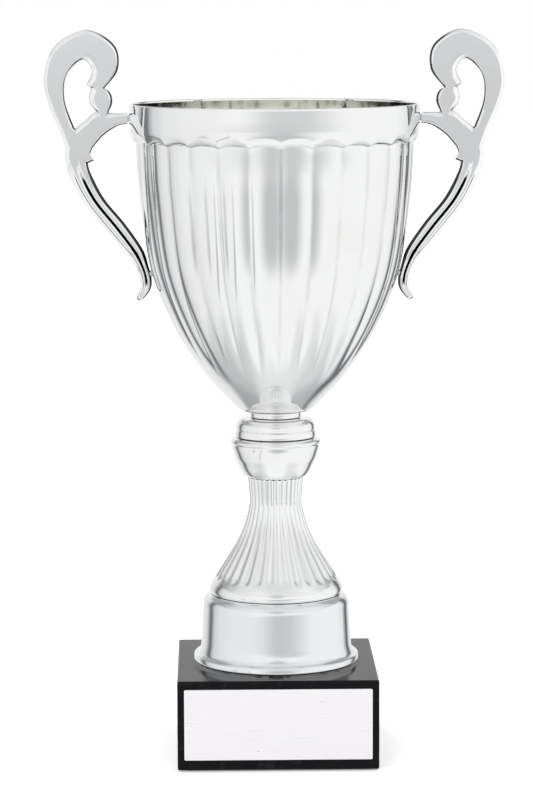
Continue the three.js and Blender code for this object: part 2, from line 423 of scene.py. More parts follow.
class Effects:
    """Builds each shared node group once, and places it in materials."""

    def __init__(self) -> None:
        """Builds every group."""
        self.groups: dict[Effect, bpy.types.NodeTree] = {}
        self.build_noise(Effect.WOBBLE, detail=1.5)
        self.build_noise(Effect.GRAIN, detail=8.0)
        self.build_haze()
        self.build_scratches()
        self.build_edge_wear()
        self.build_brushing()
        self.build_parting_line()
        self.build_creases()

    def start(self, effect: Effect, inputs: dict[str, float],
              outputs: Sequence[str]) -> tuple[Graph, bpy.types.Node, bpy.types.Node]:
        """Starts a group with its sockets.

        Args:
            effect: which group it is.
            inputs: the inputs' names and default values.
            outputs: the outputs' names.

        Returns:
            The group's graph, its input node and its output node.
        """
        tree = bpy.data.node_groups.new(effect.value, "ShaderNodeTree")
        for name, value in inputs.items():
            socket = tree.interface.new_socket(name, in_out="INPUT", socket_type="NodeSocketFloat")
            socket.default_value = value
        for name in outputs:
            tree.interface.new_socket(name, in_out="OUTPUT", socket_type="NodeSocketFloat")
        self.groups[effect] = tree
        graph = Graph(tree)
        return graph, graph.add("NodeGroupInput"), graph.add("NodeGroupOutput")

    def build_noise(self, effect: Effect, detail: float) -> None:
        """A noise whose height stands for a waviness or a grain.

        Args:
            effect: which group it is.
            detail: how much finer structure it holds.
        """
        graph, given, out = self.start(effect, {"Scale": 100.0, "Amount": 1.0}, ["Value"])
        place = graph.add("ShaderNodeTexCoord").outputs["Object"]
        inputs = {"Vector": place, "Scale": given.outputs["Scale"], "Detail": detail}
        noise = graph.add("ShaderNodeTexNoise", inputs)
        value = graph.math("MULTIPLY", noise.outputs["Fac"], given.outputs["Amount"])
        graph.tree.links.new(value, out.inputs["Value"])

    def build_haze(self) -> None:
        """Faint patches where the piece was handled and wiped."""
        graph, given, out = self.start(Effect.HAZE, {"Scale": 30.0, "Amount": 1.0}, ["Mask"])
        place = graph.add("ShaderNodeTexCoord").outputs["Object"]
        inputs = {"Vector": place, "Scale": given.outputs["Scale"], "Detail": 5.0, "Roughness": 0.6,
                  "Distortion": 0.4}
        patches = graph.remap(graph.add("ShaderNodeTexNoise", inputs).outputs["Fac"], 0.45, 0.75)
        graph.tree.links.new(graph.math("MULTIPLY", patches, given.outputs["Amount"]), out.inputs["Mask"])

    def build_scratches(self) -> None:
        """Hairlines in two directions, as a soft cloth leaves them."""
        graph, given, out = self.start(Effect.SCRATCHES, {"Scale": 1.0, "Amount": 1.0}, ["Mask"])
        place = graph.add("ShaderNodeTexCoord").outputs["Object"]
        directions = [((0.2, 0.5, 0.9), (14.0, 14.0, 1500.0)), ((0.9, -0.3, -0.6), (1300.0, 12.0, 18.0))]
        lines = []
        for angle, stretch in directions:
            mapping = graph.add("ShaderNodeMapping", {"Vector": place, "Rotation": angle, "Scale": stretch})
            inputs = {"Vector": mapping.outputs[0], "Scale": given.outputs["Scale"], "Detail": 2.0}
            lines.append(graph.remap(graph.add("ShaderNodeTexNoise", inputs).outputs["Fac"], 0.66, 0.74))
        both = graph.math("MAXIMUM", *lines)
        graph.tree.links.new(graph.math("MULTIPLY", both, given.outputs["Amount"]), out.inputs["Mask"])

    def build_edge_wear(self) -> None:
        """Rubbed edges, broken up by a noise."""
        graph, given, out = self.start(Effect.EDGE_WEAR, {"Start": 0.55, "Amount": 1.0}, ["Mask"])
        sharpness = graph.add("ShaderNodeNewGeometry").outputs["Pointiness"]
        end = graph.math("ADD", given.outputs["Start"], 0.08)
        inputs = {"Value": sharpness, "From Min": given.outputs["Start"], "From Max": end}
        edge = graph.add("ShaderNodeMapRange", inputs).outputs[0]
        place = graph.add("ShaderNodeTexCoord").outputs["Object"]
        noise = graph.add("ShaderNodeTexNoise", {"Vector": place, "Scale": 400.0, "Detail": 4.0})
        broken = graph.math("MULTIPLY", edge, graph.remap(noise.outputs["Fac"], 0.35, 0.65))
        graph.tree.links.new(graph.math("MULTIPLY", broken, given.outputs["Amount"]), out.inputs["Mask"])

    def build_brushing(self) -> None:
        """Fine lines along X, long ones and short ones together."""
        inputs = {"Fineness": 3400.0, "Length": 42.0}
        graph, given, out = self.start(Effect.BRUSHING, inputs, ["Line", "Streak"])
        place = graph.add("ShaderNodeTexCoord").outputs["Object"]
        for name, share, threshold in (("Line", 1.0, (0.40, 0.60)), ("Streak", 0.8, (0.60, 0.66))):
            fineness = graph.math("MULTIPLY", given.outputs["Fineness"], share)
            sizes = {"X": given.outputs["Length"], "Y": fineness, "Z": fineness}
            stretch = graph.add("ShaderNodeCombineXYZ", sizes).outputs[0]
            scaled = graph.add("ShaderNodeVectorMath", {0: place, 1: stretch}, operation="MULTIPLY")
            inputs = {"Vector": scaled.outputs[0], "Scale": 1.0, "Detail": 3.0}
            noise = graph.add("ShaderNodeTexNoise", inputs)
            graph.tree.links.new(graph.remap(noise.outputs["Fac"], *threshold), out.inputs[name])

    def build_parting_line(self) -> None:
        """The thin upright line that the two halves of a mould leave, on both sides of a piece."""
        graph, given, out = self.start(Effect.PARTING_LINE, {"Angle": 0.0, "Width": 0.01}, ["Mask"])
        place = graph.add("ShaderNodeTexCoord").outputs["Object"]
        turned = graph.add("ShaderNodeVectorRotate", {"Vector": place, "Angle": given.outputs["Angle"]},
                           rotation_type="Z_AXIS")
        parts = graph.add("ShaderNodeSeparateXYZ", {0: turned.outputs[0]})
        away = graph.math("ABSOLUTE", graph.math("DIVIDE", parts.outputs["X"], parts.outputs["Y"]))
        share = graph.math("DIVIDE", away, given.outputs["Width"])
        graph.tree.links.new(graph.remap(share, 1.0, 0.0), out.inputs["Mask"])

    def build_creases(self) -> None:
        """Painted shade in the creases between upright flutes, fading out at the top and the bottom."""
        inputs = {"Flutes": float(FLUTES), "Turned": 0.0, "Bottom": 0.0, "Top": 1.0, "Width": 0.06,
                  "Amount": 1.0}
        bottom_fade, top_fade = 8.0 * MM, 1.0 * MM
        graph, given, out = self.start(Effect.CREASES, inputs, ["Mask"])
        place = graph.add("ShaderNodeTexCoord").outputs["Object"]
        parts = graph.add("ShaderNodeSeparateXYZ", {0: place})
        angle = graph.math("ARCTAN2", parts.outputs["Y"], parts.outputs["X"])
        angle = graph.math("SUBTRACT", graph.math("ADD", angle, math.pi / 2), given.outputs["Turned"])
        turns = graph.math("MULTIPLY", graph.math("DIVIDE", angle, math.tau), given.outputs["Flutes"])
        share = graph.math("FRACT", graph.math("ADD", turns, given.outputs["Flutes"]))
        away = graph.math("ABSOLUTE", graph.math("SUBTRACT", share, 0.5))
        crease = graph.math("SUBTRACT", 1.0, graph.math("DIVIDE", away, given.outputs["Width"]))
        crease = graph.math("MAXIMUM", crease, 0.0)
        noise = graph.add("ShaderNodeTexNoise", {"Vector": place, "Scale": 60.0, "Detail": 3.0})
        uneven = graph.remap(noise.outputs["Fac"], 0.35, 0.65, 0.1, 1.0)
        mask = graph.math("MULTIPLY", crease, uneven)
        for name, operation, fade in (("Bottom", "ADD", bottom_fade), ("Top", "SUBTRACT", top_fade)):
            full = graph.math(operation, given.outputs[name], fade)
            ends = {"Value": parts.outputs["Z"], "From Min": given.outputs[name], "From Max": full}
            mask = graph.math("MULTIPLY", mask, graph.add("ShaderNodeMapRange", ends).outputs[0])
        graph.tree.links.new(graph.math("MULTIPLY", mask, given.outputs["Amount"]), out.inputs["Mask"])

    def place(self, graph: Graph, effect: Effect, **values: float) -> bpy.types.Node:
        """Places a group in a material.

        Args:
            graph: the material's graph.
            effect: which group.
            **values: the group's inputs, with their names in lower case.

        Returns:
            The group's node.
        """
        node = graph.add("ShaderNodeGroup", node_tree=self.groups[effect])
        for name, value in values.items():
            node.inputs[name.capitalize()].default_value = value
        return node


# ---- Finishes ----


def new_material(name: str, **constants: object) -> tuple[bpy.types.Material, Graph, bpy.types.Node]:
    """Makes a material with a Principled BSDF.

    Args:
        name: the material's name.
        **constants: the shader's constant inputs, with _ for a space.

    Returns:
        The material, its graph and its shader node.
    """
    material = bpy.data.materials.new(name)
    material.use_nodes = True
    shader = material.node_tree.nodes["Principled BSDF"]
    for key, value in constants.items():
        shader.inputs[key.replace("_", " ")].default_value = value
    return material, Graph(material.node_tree), shader


def wire(graph: Graph, shader: bpy.types.Node, colour: object = None, roughness: object = None,
         height: object = None, depth: float = 0.1 * MM) -> None:
    """Links what varies over a surface to its shader.

    Args:
        graph: the material's graph.
        shader: its Principled BSDF.
        colour: the output for Base Color.
        roughness: the output for Roughness.
        height: the output that raises the surface.
        depth: how far a height of 1 stands up.
    """
    if colour is not None:
        graph.tree.links.new(colour, shader.inputs["Base Color"])
    if roughness is not None:
        graph.tree.links.new(roughness, shader.inputs["Roughness"])
    if height is not None:
        bump = graph.add("ShaderNodeBump", {"Height": height, "Distance": depth, "Strength": 1.0})
        graph.tree.links.new(bump.outputs["Normal"], shader.inputs["Normal"])


def opaque(colour: Colour) -> tuple[float, float, float, float]:
    """A colour with full alpha."""
    return (*colour, 1.0)


@dataclass(frozen=True)
class Creases:
    """Where painted shade darkens the creases between a piece's flutes."""

    turned: float
    bottom: float
    top: float
    width: float
    amount: float


@dataclass(frozen=True)
class SilverPlate:
    """Silver plate: a bright mirror with a soft waviness, hairlines and handling marks."""

    name: str
    colour: Colour = (0.90, 0.905, 0.91)
    tarnish: Colour = (0.84, 0.83, 0.78)
    roughness: float = 0.05
    wobble: float = 0.035 * MM
    wobble_scale: float = 55.0
    parting_angle: float | None = None
    parting_width: float = 0.009
    # The flag below paints a dark reflection on the steep walls and a highlight on the rounded edges.
    blackened: bool = False
    warm_inside: bool = False
    creases: Creases | None = None
    rubbed: Colour = (0.95, 0.95, 0.94)
    # Painted highlight on the rounded edges, painted dark reflection on the steep walls, and painted shade in
    # the creases between flutes.
    bright_rim: Colour = (0.95, 0.955, 0.96)
    black: Colour = (0.05, 0.055, 0.06)
    residue: Colour = (0.30, 0.31, 0.31)
    lining: Colour = (0.885, 0.885, 0.855)
    leg_fade: tuple[float, float] = (239.0 * MM, 231.0 * MM)

    def normal(self, graph: Graph) -> bpy.types.Node:
        """The surface's direction, split into X, Y and Z."""
        return graph.add("ShaderNodeSeparateXYZ", {0: graph.add("ShaderNodeNewGeometry").outputs["Normal"]})

    def place(self, graph: Graph) -> bpy.types.Node:
        """The place on the piece, split into X, Y and Z."""
        return graph.add("ShaderNodeSeparateXYZ", {0: graph.add("ShaderNodeTexCoord").outputs["Object"]})

    def steep_walls(self, graph: Graph) -> bpy.types.NodeSocket:
        """Marks the steep walls that are painted dark, a painted reflection of dark surroundings: those that
        face the cup, and the reeds'.

        Args:
            graph: the material's graph.

        Returns:
            The mask.
        """
        normal, place = self.normal(graph), self.place(graph)
        side = graph.math("SIGN", place.outputs["X"])
        inward = graph.math("MULTIPLY", graph.math("MULTIPLY", side, normal.outputs["X"]), -1.0)
        inward = graph.math("MULTIPLY_ADD", normal.outputs["Z"], -0.3, inward)
        leg = graph.remap(place.outputs["Z"], *self.leg_fade)
        facing_cup_or_leg = graph.math("MAXIMUM", graph.remap(inward, 0.05, 0.35), leg)
        front = graph.math("ABSOLUTE", normal.outputs["Y"])
        steep = graph.math("MULTIPLY", graph.remap(front, 0.66, 0.52), graph.remap(front, 0.10, 0.22))
        return graph.math("MULTIPLY", facing_cup_or_leg, steep)

    def inside(self, graph: Graph) -> bpy.types.NodeSocket:
        """Marks the inside of a round piece.

        Args:
            graph: the material's graph.

        Returns:
            The mask.
        """
        normal, place = self.normal(graph), self.place(graph)
        outward = graph.math("MULTIPLY", normal.outputs["Y"], place.outputs["Y"])
        outward = graph.math("MULTIPLY_ADD", normal.outputs["X"], place.outputs["X"], outward)
        return graph.remap(outward, 0.0, -4.0 * MM)

    def build(self, effects: Effects) -> bpy.types.Material:
        """Builds the material.

        Args:
            effects: the shared node groups.

        Returns:
            The material.
        """
        material, graph, shader = new_material(self.name, Metallic=1.0)
        haze = effects.place(graph, Effect.HAZE, scale=26.0).outputs["Mask"]
        scratches = effects.place(graph, Effect.SCRATCHES).outputs["Mask"]
        worn = effects.place(graph, Effect.EDGE_WEAR, amount=0.5).outputs["Mask"]
        tint = graph.blend(graph.math("MULTIPLY", haze, 0.35), opaque(self.colour), opaque(self.tarnish))
        colour = graph.blend(worn, tint, opaque(self.rubbed))
        rough = graph.math("MULTIPLY_ADD", haze, 0.03, self.roughness)
        rough = graph.math("MULTIPLY_ADD", scratches, 0.08, rough)
        wave = effects.place(graph, Effect.WOBBLE, scale=self.wobble_scale).outputs["Value"]
        height = graph.math("MULTIPLY_ADD", scratches, -0.01, wave)
        if self.blackened:
            # Painted highlight: the edges around the flat faces are painted a brighter silver.
            front = graph.math("ABSOLUTE", self.normal(graph).outputs["Y"])
            colour = graph.blend(graph.remap(front, 0.985, 0.93), colour, opaque(self.bright_rim))
            # Painted reflection: the steep walls are painted nearly black, standing in for the dark
            # surroundings they reflect.
            black = self.steep_walls(graph)
            colour = graph.blend(black, colour, opaque(self.black))
            rough = graph.math("MULTIPLY_ADD", black, 0.25, rough)
        if self.creases is not None:
            # Painted shade: dark lines in the creases between the flutes.
            residue = effects.place(graph, Effect.CREASES, **asdict(self.creases)).outputs["Mask"]
            colour = graph.blend(residue, colour, opaque(self.residue))
        if self.warm_inside:
            colour = graph.blend(self.inside(graph), colour, opaque(self.lining))
        if self.parting_angle is not None:
            line = effects.place(graph, Effect.PARTING_LINE, angle=self.parting_angle,
                                 width=self.parting_width).outputs["Mask"]
            height = graph.math("MULTIPLY_ADD", line, 0.5, height)
        wire(graph, shader, colour, rough, height, self.wobble)
        return material


@dataclass(frozen=True)
class ZincSteel:
    """Zinc-plated steel, with turning marks and a dull grain."""

    name: str
    colour: Colour = (0.62, 0.63, 0.65)
    dull_colour: Colour = (0.50, 0.50, 0.47)
    rubbed: Colour = (0.80, 0.80, 0.80)

    def build(self, effects: Effects) -> bpy.types.Material:
        """Builds the material.

        Args:
            effects: the shared node groups.

        Returns:
            The material.
        """
        material, graph, shader = new_material(self.name, Metallic=1.0)
        grain = effects.place(graph, Effect.GRAIN, scale=2200.0).outputs["Value"]
        haze = effects.place(graph, Effect.HAZE, scale=180.0).outputs["Mask"]
        worn = effects.place(graph, Effect.EDGE_WEAR).outputs["Mask"]
        dull = graph.blend(haze, opaque(self.colour), opaque(self.dull_colour))
        colour = graph.blend(worn, dull, opaque(self.rubbed))
        wire(graph, shader, colour, graph.math("MULTIPLY_ADD", grain, 0.25, 0.18), grain, 0.02 * MM)
        return material


@dataclass(frozen=True)
class BrushedPlate:
    """Pale metal brushed along its length under a clear lacquer, with a few specks."""

    name: str
    colour: Colour = (0.985, 0.965, 0.985)
    line_colour: Colour = (0.70, 0.69, 0.71)
    speck_colour: Colour = (0.25, 0.24, 0.25)
    rubbed: Colour = (0.95, 0.95, 0.96)

    def build(self, effects: Effects) -> bpy.types.Material:
        """Builds the material.

        Args:
            effects: the shared node groups.

        Returns:
            The material.
        """
        material, graph, shader = new_material(
            self.name, Metallic=0.65, Anisotropic=0.5, Coat_Weight=0.25, Coat_Roughness=0.2)
        brushed = effects.place(graph, Effect.BRUSHING)
        line, streak = brushed.outputs["Line"], brushed.outputs["Streak"]
        worn = effects.place(graph, Effect.EDGE_WEAR, amount=0.6).outputs["Mask"]
        place = graph.add("ShaderNodeTexCoord").outputs["Object"]
        spots = graph.add("ShaderNodeTexVoronoi", {"Vector": place, "Scale": 165.0}).outputs["Distance"]
        speck = graph.remap(spots, 0.05, 0.03)
        colour = opaque(self.colour)
        for mask, share, second in ((line, 0.16, self.line_colour), (streak, 0.22, self.line_colour),
                                    (speck, 0.7, self.speck_colour)):
            colour = graph.blend(graph.math("MULTIPLY", mask, share), colour, opaque(second))
        colour = graph.blend(worn, colour, opaque(self.rubbed))
        rough = graph.math("MULTIPLY_ADD", line, 0.14, 0.34)
        wire(graph, shader, colour, rough, graph.math("ADD", line, streak), 0.006 * MM)
        return material


@dataclass(frozen=True)
class BlackMarble:
    """Polished black marble with faint grey veins and fine crystals."""

    name: str
    colour: Colour = (0.006, 0.006, 0.007)
    vein_colour: Colour = (0.05, 0.05, 0.055)
    crystal_colour: Colour = (0.035, 0.035, 0.038)
    rubbed: Colour = (0.10, 0.10, 0.10)

    def build(self, effects: Effects) -> bpy.types.Material:
        """Builds the material.

        Args:
            effects: the shared node groups.

        Returns:
            The material.
        """
        material, graph, shader = new_material(self.name, IOR=1.20)
        place = graph.add("ShaderNodeTexCoord").outputs["Object"]
        inputs = {"Vector": place, "Scale": 22.0, "Detail": 6.0, "Distortion": 1.6}
        cloud = graph.add("ShaderNodeTexNoise", inputs).outputs["Fac"]
        away = graph.math("ABSOLUTE", graph.math("SUBTRACT", cloud, 0.5))
        vein = graph.math("MULTIPLY", graph.remap(away, 0.022, 0.0), 0.14)
        grain = effects.place(graph, Effect.GRAIN, scale=1500.0).outputs["Value"]
        crystal = graph.remap(grain, 0.62, 0.72)
        worn = effects.place(graph, Effect.EDGE_WEAR, amount=0.6).outputs["Mask"]
        haze = effects.place(graph, Effect.HAZE, scale=40.0).outputs["Mask"]
        colour = graph.blend(vein, opaque(self.colour), opaque(self.vein_colour))
        colour = graph.blend(graph.math("MULTIPLY", crystal, 0.25), colour, opaque(self.crystal_colour))
        colour = graph.blend(worn, colour, opaque(self.rubbed))
        rough = graph.math("MULTIPLY_ADD", haze, 0.07, 0.07)
        wire(graph, shader, colour, rough, grain, 0.004 * MM)
        return material


@dataclass(frozen=True)
class MatteGrain:
    """A dull finish with a grain: rubber, foam tape, fibre, felt or paper."""

    name: str
    colour: Colour
    second: Colour
    scale: float
    depth: float
    roughness: float = 0.85
    sheen: float = 0.0

    def build(self, effects: Effects) -> bpy.types.Material:
        """Builds the material.

        Args:
            effects: the shared node groups.

        Returns:
            The material.
        """
        material, graph, shader = new_material(self.name, Sheen_Weight=self.sheen, Sheen_Roughness=0.5)
        grain = effects.place(graph, Effect.GRAIN, scale=self.scale).outputs["Value"]
        haze = effects.place(graph, Effect.HAZE, scale=35.0, amount=0.4).outputs["Mask"]
        colour = graph.blend(graph.remap(grain, 0.35, 0.65), opaque(self.colour), opaque(self.second))
        colour = graph.blend(haze, colour, opaque(self.second))
        rough = graph.math("MULTIPLY_ADD", grain, 0.15, self.roughness - 0.08)
        wire(graph, shader, colour, rough, grain, self.depth)
        return material


class Slot(Enum):
    """The record's material slots."""

    BOWL = "bowl_metal"
    FOOT = "foot_metal"
    HANDLE = "handle_metal"
    PLATE = "plate_metal"
    STEEL = "fastener_steel"
    STONE = "stone"
    FELT = "felt"
    RUBBER = "rubber"
    ADHESIVE = "adhesive"
    FIBRE = "fibre"


class Wardrobe:
    """Every finish, built once and found by its slot, and a greyer plating for the round foot's skirt."""

    def __init__(self, effects: Effects) -> None:
        """Builds the finishes.

        Args:
            effects: the shared node groups.
        """
        # The creases below are painted shade between the flutes of the cup and the stem.
        cup_creases = Creases(turned=CUP_TURN, bottom=158.0 * MM, top=247.0 * MM, width=0.10, amount=0.26)
        stem_creases = Creases(turned=STEM_TURN, bottom=70.0 * MM, top=111.5 * MM, width=0.08, amount=0.44)
        foot_wobble = 0.05 * MM
        finishes = {
            Slot.BOWL: SilverPlate("silver_plate_bowl", warm_inside=True, creases=cup_creases),
            Slot.FOOT: SilverPlate("silver_plate_foot", wobble=foot_wobble, parting_angle=PARTING_ANGLE,
                                   creases=stem_creases),
            # The handles' plating paints a dark reflection on their steep walls and a highlight on their
            # rounded edges.
            Slot.HANDLE: SilverPlate("silver_plate_handle", colour=(0.86, 0.875, 0.885), roughness=0.055,
                                     wobble=0.02 * MM, wobble_scale=130.0, blackened=True),
            Slot.PLATE: BrushedPlate("brushed_plate"),
            Slot.STEEL: ZincSteel("zinc_steel"),
            Slot.STONE: BlackMarble("black_marble"),
            Slot.FELT: MatteGrain("pressed_felt", (0.012, 0.015, 0.013), (0.03, 0.036, 0.032), 1800.0,
                                  0.25 * MM, roughness=0.95, sheen=0.35),
            Slot.RUBBER: MatteGrain("soft_rubber", (0.006, 0.006, 0.006), (0.014, 0.014, 0.014), 900.0,
                                    0.03 * MM, roughness=0.7),
            Slot.ADHESIVE: MatteGrain("foam_tape", (0.74, 0.72, 0.64), (0.62, 0.60, 0.52), 1400.0,
                                      0.06 * MM),
            Slot.FIBRE: MatteGrain("red_fibre", (0.28, 0.05, 0.03), (0.20, 0.035, 0.025), 1100.0,
                                   0.04 * MM, roughness=0.6),
        }
        self.materials = {slot: finish.build(effects) for slot, finish in finishes.items()}
        greyer = SilverPlate("silver_plate_skirt", colour=(0.845, 0.855, 0.87), wobble=foot_wobble,
                             parting_angle=PARTING_ANGLE)
        self.greyer_foot = greyer.build(effects)

    def dress(self, piece: bpy.types.Object, node: str, slot: Slot) -> None:
        """Dresses a new piece that stands for a solid.

        Args:
            piece: the finished object.
            node: the solid's name.
            slot: its finish.
        """
        hand_over(piece, node, self.materials[slot])

    def repaint(self, node: str, slot: Slot) -> None:
        """Gives a solid that stays its finish.

        Args:
            node: the solid's name.
            slot: its finish.
        """
        solid = frame["nodes"][node]
        solid.data.materials.clear()
        solid.data.materials.append(self.materials[slot])
        log.info("%s: solid kept", node)


# ---- The block with its felt, tape and plate ----


@dataclass
class Block:
    """The marble block, the felt under it, and the plate on its front."""

    chamfer: float = 0.8 * MM
    bore: float = ROD_HOLE * MM
    recess: float = 12.0 * MM
    recess_depth: float = 12.0 * MM
    felt_corner: float = 2.0 * MM
    felt_edge: float = 0.12 * MM
    plate_corner: float = 0.6 * MM
    plate_edge: float = 0.1 * MM
    tape_edge: float = 0.04 * MM

    def slab(self, name: str, node: str) -> bpy.types.Object:
        """A box that fills a solid's box.

        Args:
            name: the new piece's name.
            node: the solid whose box it fills.

        Returns:
            The box.
        """
        low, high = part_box(node)
        piece = add_primitive(name, bpy.ops.mesh.primitive_cube_add, size=1.0)
        with editing(piece):
            bpy.ops.mesh.select_all(action="SELECT")
            bpy.ops.transform.resize(value=tuple(high - low), center_override=(0, 0, 0))
            bpy.ops.transform.translate(value=tuple((low + high) / 2))
        return piece

    def marble(self) -> bpy.types.Object:
        """The block, chamfered, bored through, and recessed from below.

        Returns:
            The block.
        """
        low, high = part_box("marble_base")
        piece = self.slab("marble_block", "marble_base")
        apply_modifier(piece, "BEVEL", width=self.chamfer, segments=4, limit_method="ANGLE")
        through = high.z - low.z + 2 * MM
        holes = [(self.bore, through, (low.z + high.z) / 2), (self.recess, 2 * self.recess_depth, low.z)]
        for radius, depth, middle in holes:
            tool = add_primitive("hole", bpy.ops.mesh.primitive_cylinder_add, vertices=64, radius=radius,
                                 depth=depth, location=(0, 0, middle))
            combine(piece, tool, "DIFFERENCE")
        shade(piece, 25.0, flat_faces=True)
        return piece

    def felt(self) -> bpy.types.Object:
        """The felt pad, with round corners and a soft lower edge.

        Returns:
            The pad.
        """
        low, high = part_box("felt_pad")
        piece = self.slab("felt", "felt_pad")
        self.round_corners(piece, self.felt_corner, lambda a, b: abs(a.z - b.z) > 0.5 * (high.z - low.z))
        apply_modifier(piece, "BEVEL", width=self.felt_edge, segments=2, limit_method="ANGLE")
        shade(piece, 40.0)
        return piece

    def round_corners(self, piece: bpy.types.Object, radius: float,
                      test: Callable[[Vector, Vector], bool]) -> None:
        """Rounds the edges that pass a test.

        Args:
            piece: the object to round.
            radius: the corners' radius.
            test: takes an edge's two ends.
        """
        with editing(piece, Domain.EDGES):
            mesh = bmesh.from_edit_mesh(piece.data)
            for edge in mesh.edges:
                edge.select_set(test(edge.verts[0].co, edge.verts[1].co))
            bmesh.update_edit_mesh(piece.data)
            bpy.ops.mesh.bevel(offset=radius, segments=6, affect="EDGES")

    def plate(self, name: str, node: str, edge: float) -> bpy.types.Object:
        """A thin sheet on the block's front, with round corners and broken edges.

        Args:
            name: the new piece's name.
            node: the solid that it stands for.
            edge: how wide its edges are broken.

        Returns:
            The sheet.
        """
        low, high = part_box(node)
        piece = self.slab(name, node)
        self.round_corners(piece, self.plate_corner, lambda a, b: abs(a.y - b.y) > 0.5 * (high.y - low.y))
        apply_modifier(piece, "BEVEL", width=edge, segments=2, limit_method="ANGLE",
                       angle_limit=math.radians(60))
        shade(piece, 35.0, flat_faces=True)
        return piece

    def build(self, wardrobe: Wardrobe) -> None:
        """Builds and dresses the block's pieces.

        Args:
            wardrobe: the finishes.
        """
        marble = self.marble()
        wardrobe.dress(marble, "marble_base", Slot.STONE)
        felt = self.felt()
        wardrobe.dress(felt, "felt_pad", Slot.FELT)
        tape = self.plate("tape", "plate_adhesive", self.tape_edge)
        plate = self.plate("plate", "engraving_plate", self.plate_edge)
        for piece in (marble, felt, tape, plate):
            piece.visible_glossy = False
        wardrobe.dress(tape, "plate_adhesive", Slot.ADHESIVE)
        wardrobe.dress(plate, "engraving_plate", Slot.PLATE)


# ---- Foot, stem and knob ----


def flute_away(place: Vector, count: int, turned: float) -> float:
    """How far round a place is from the nearest crest.

    Args:
        place: the place.
        count: how many crests there are.
        turned: the angle of the crest nearest the front.

    Returns:
        0 on a crest, 1 half way between two.
    """
    angle = math.atan2(place.y, place.x) + math.pi / 2 - turned
    share = (angle * count / math.tau) % 1.0
    return 2 * min(share, 1 - share)


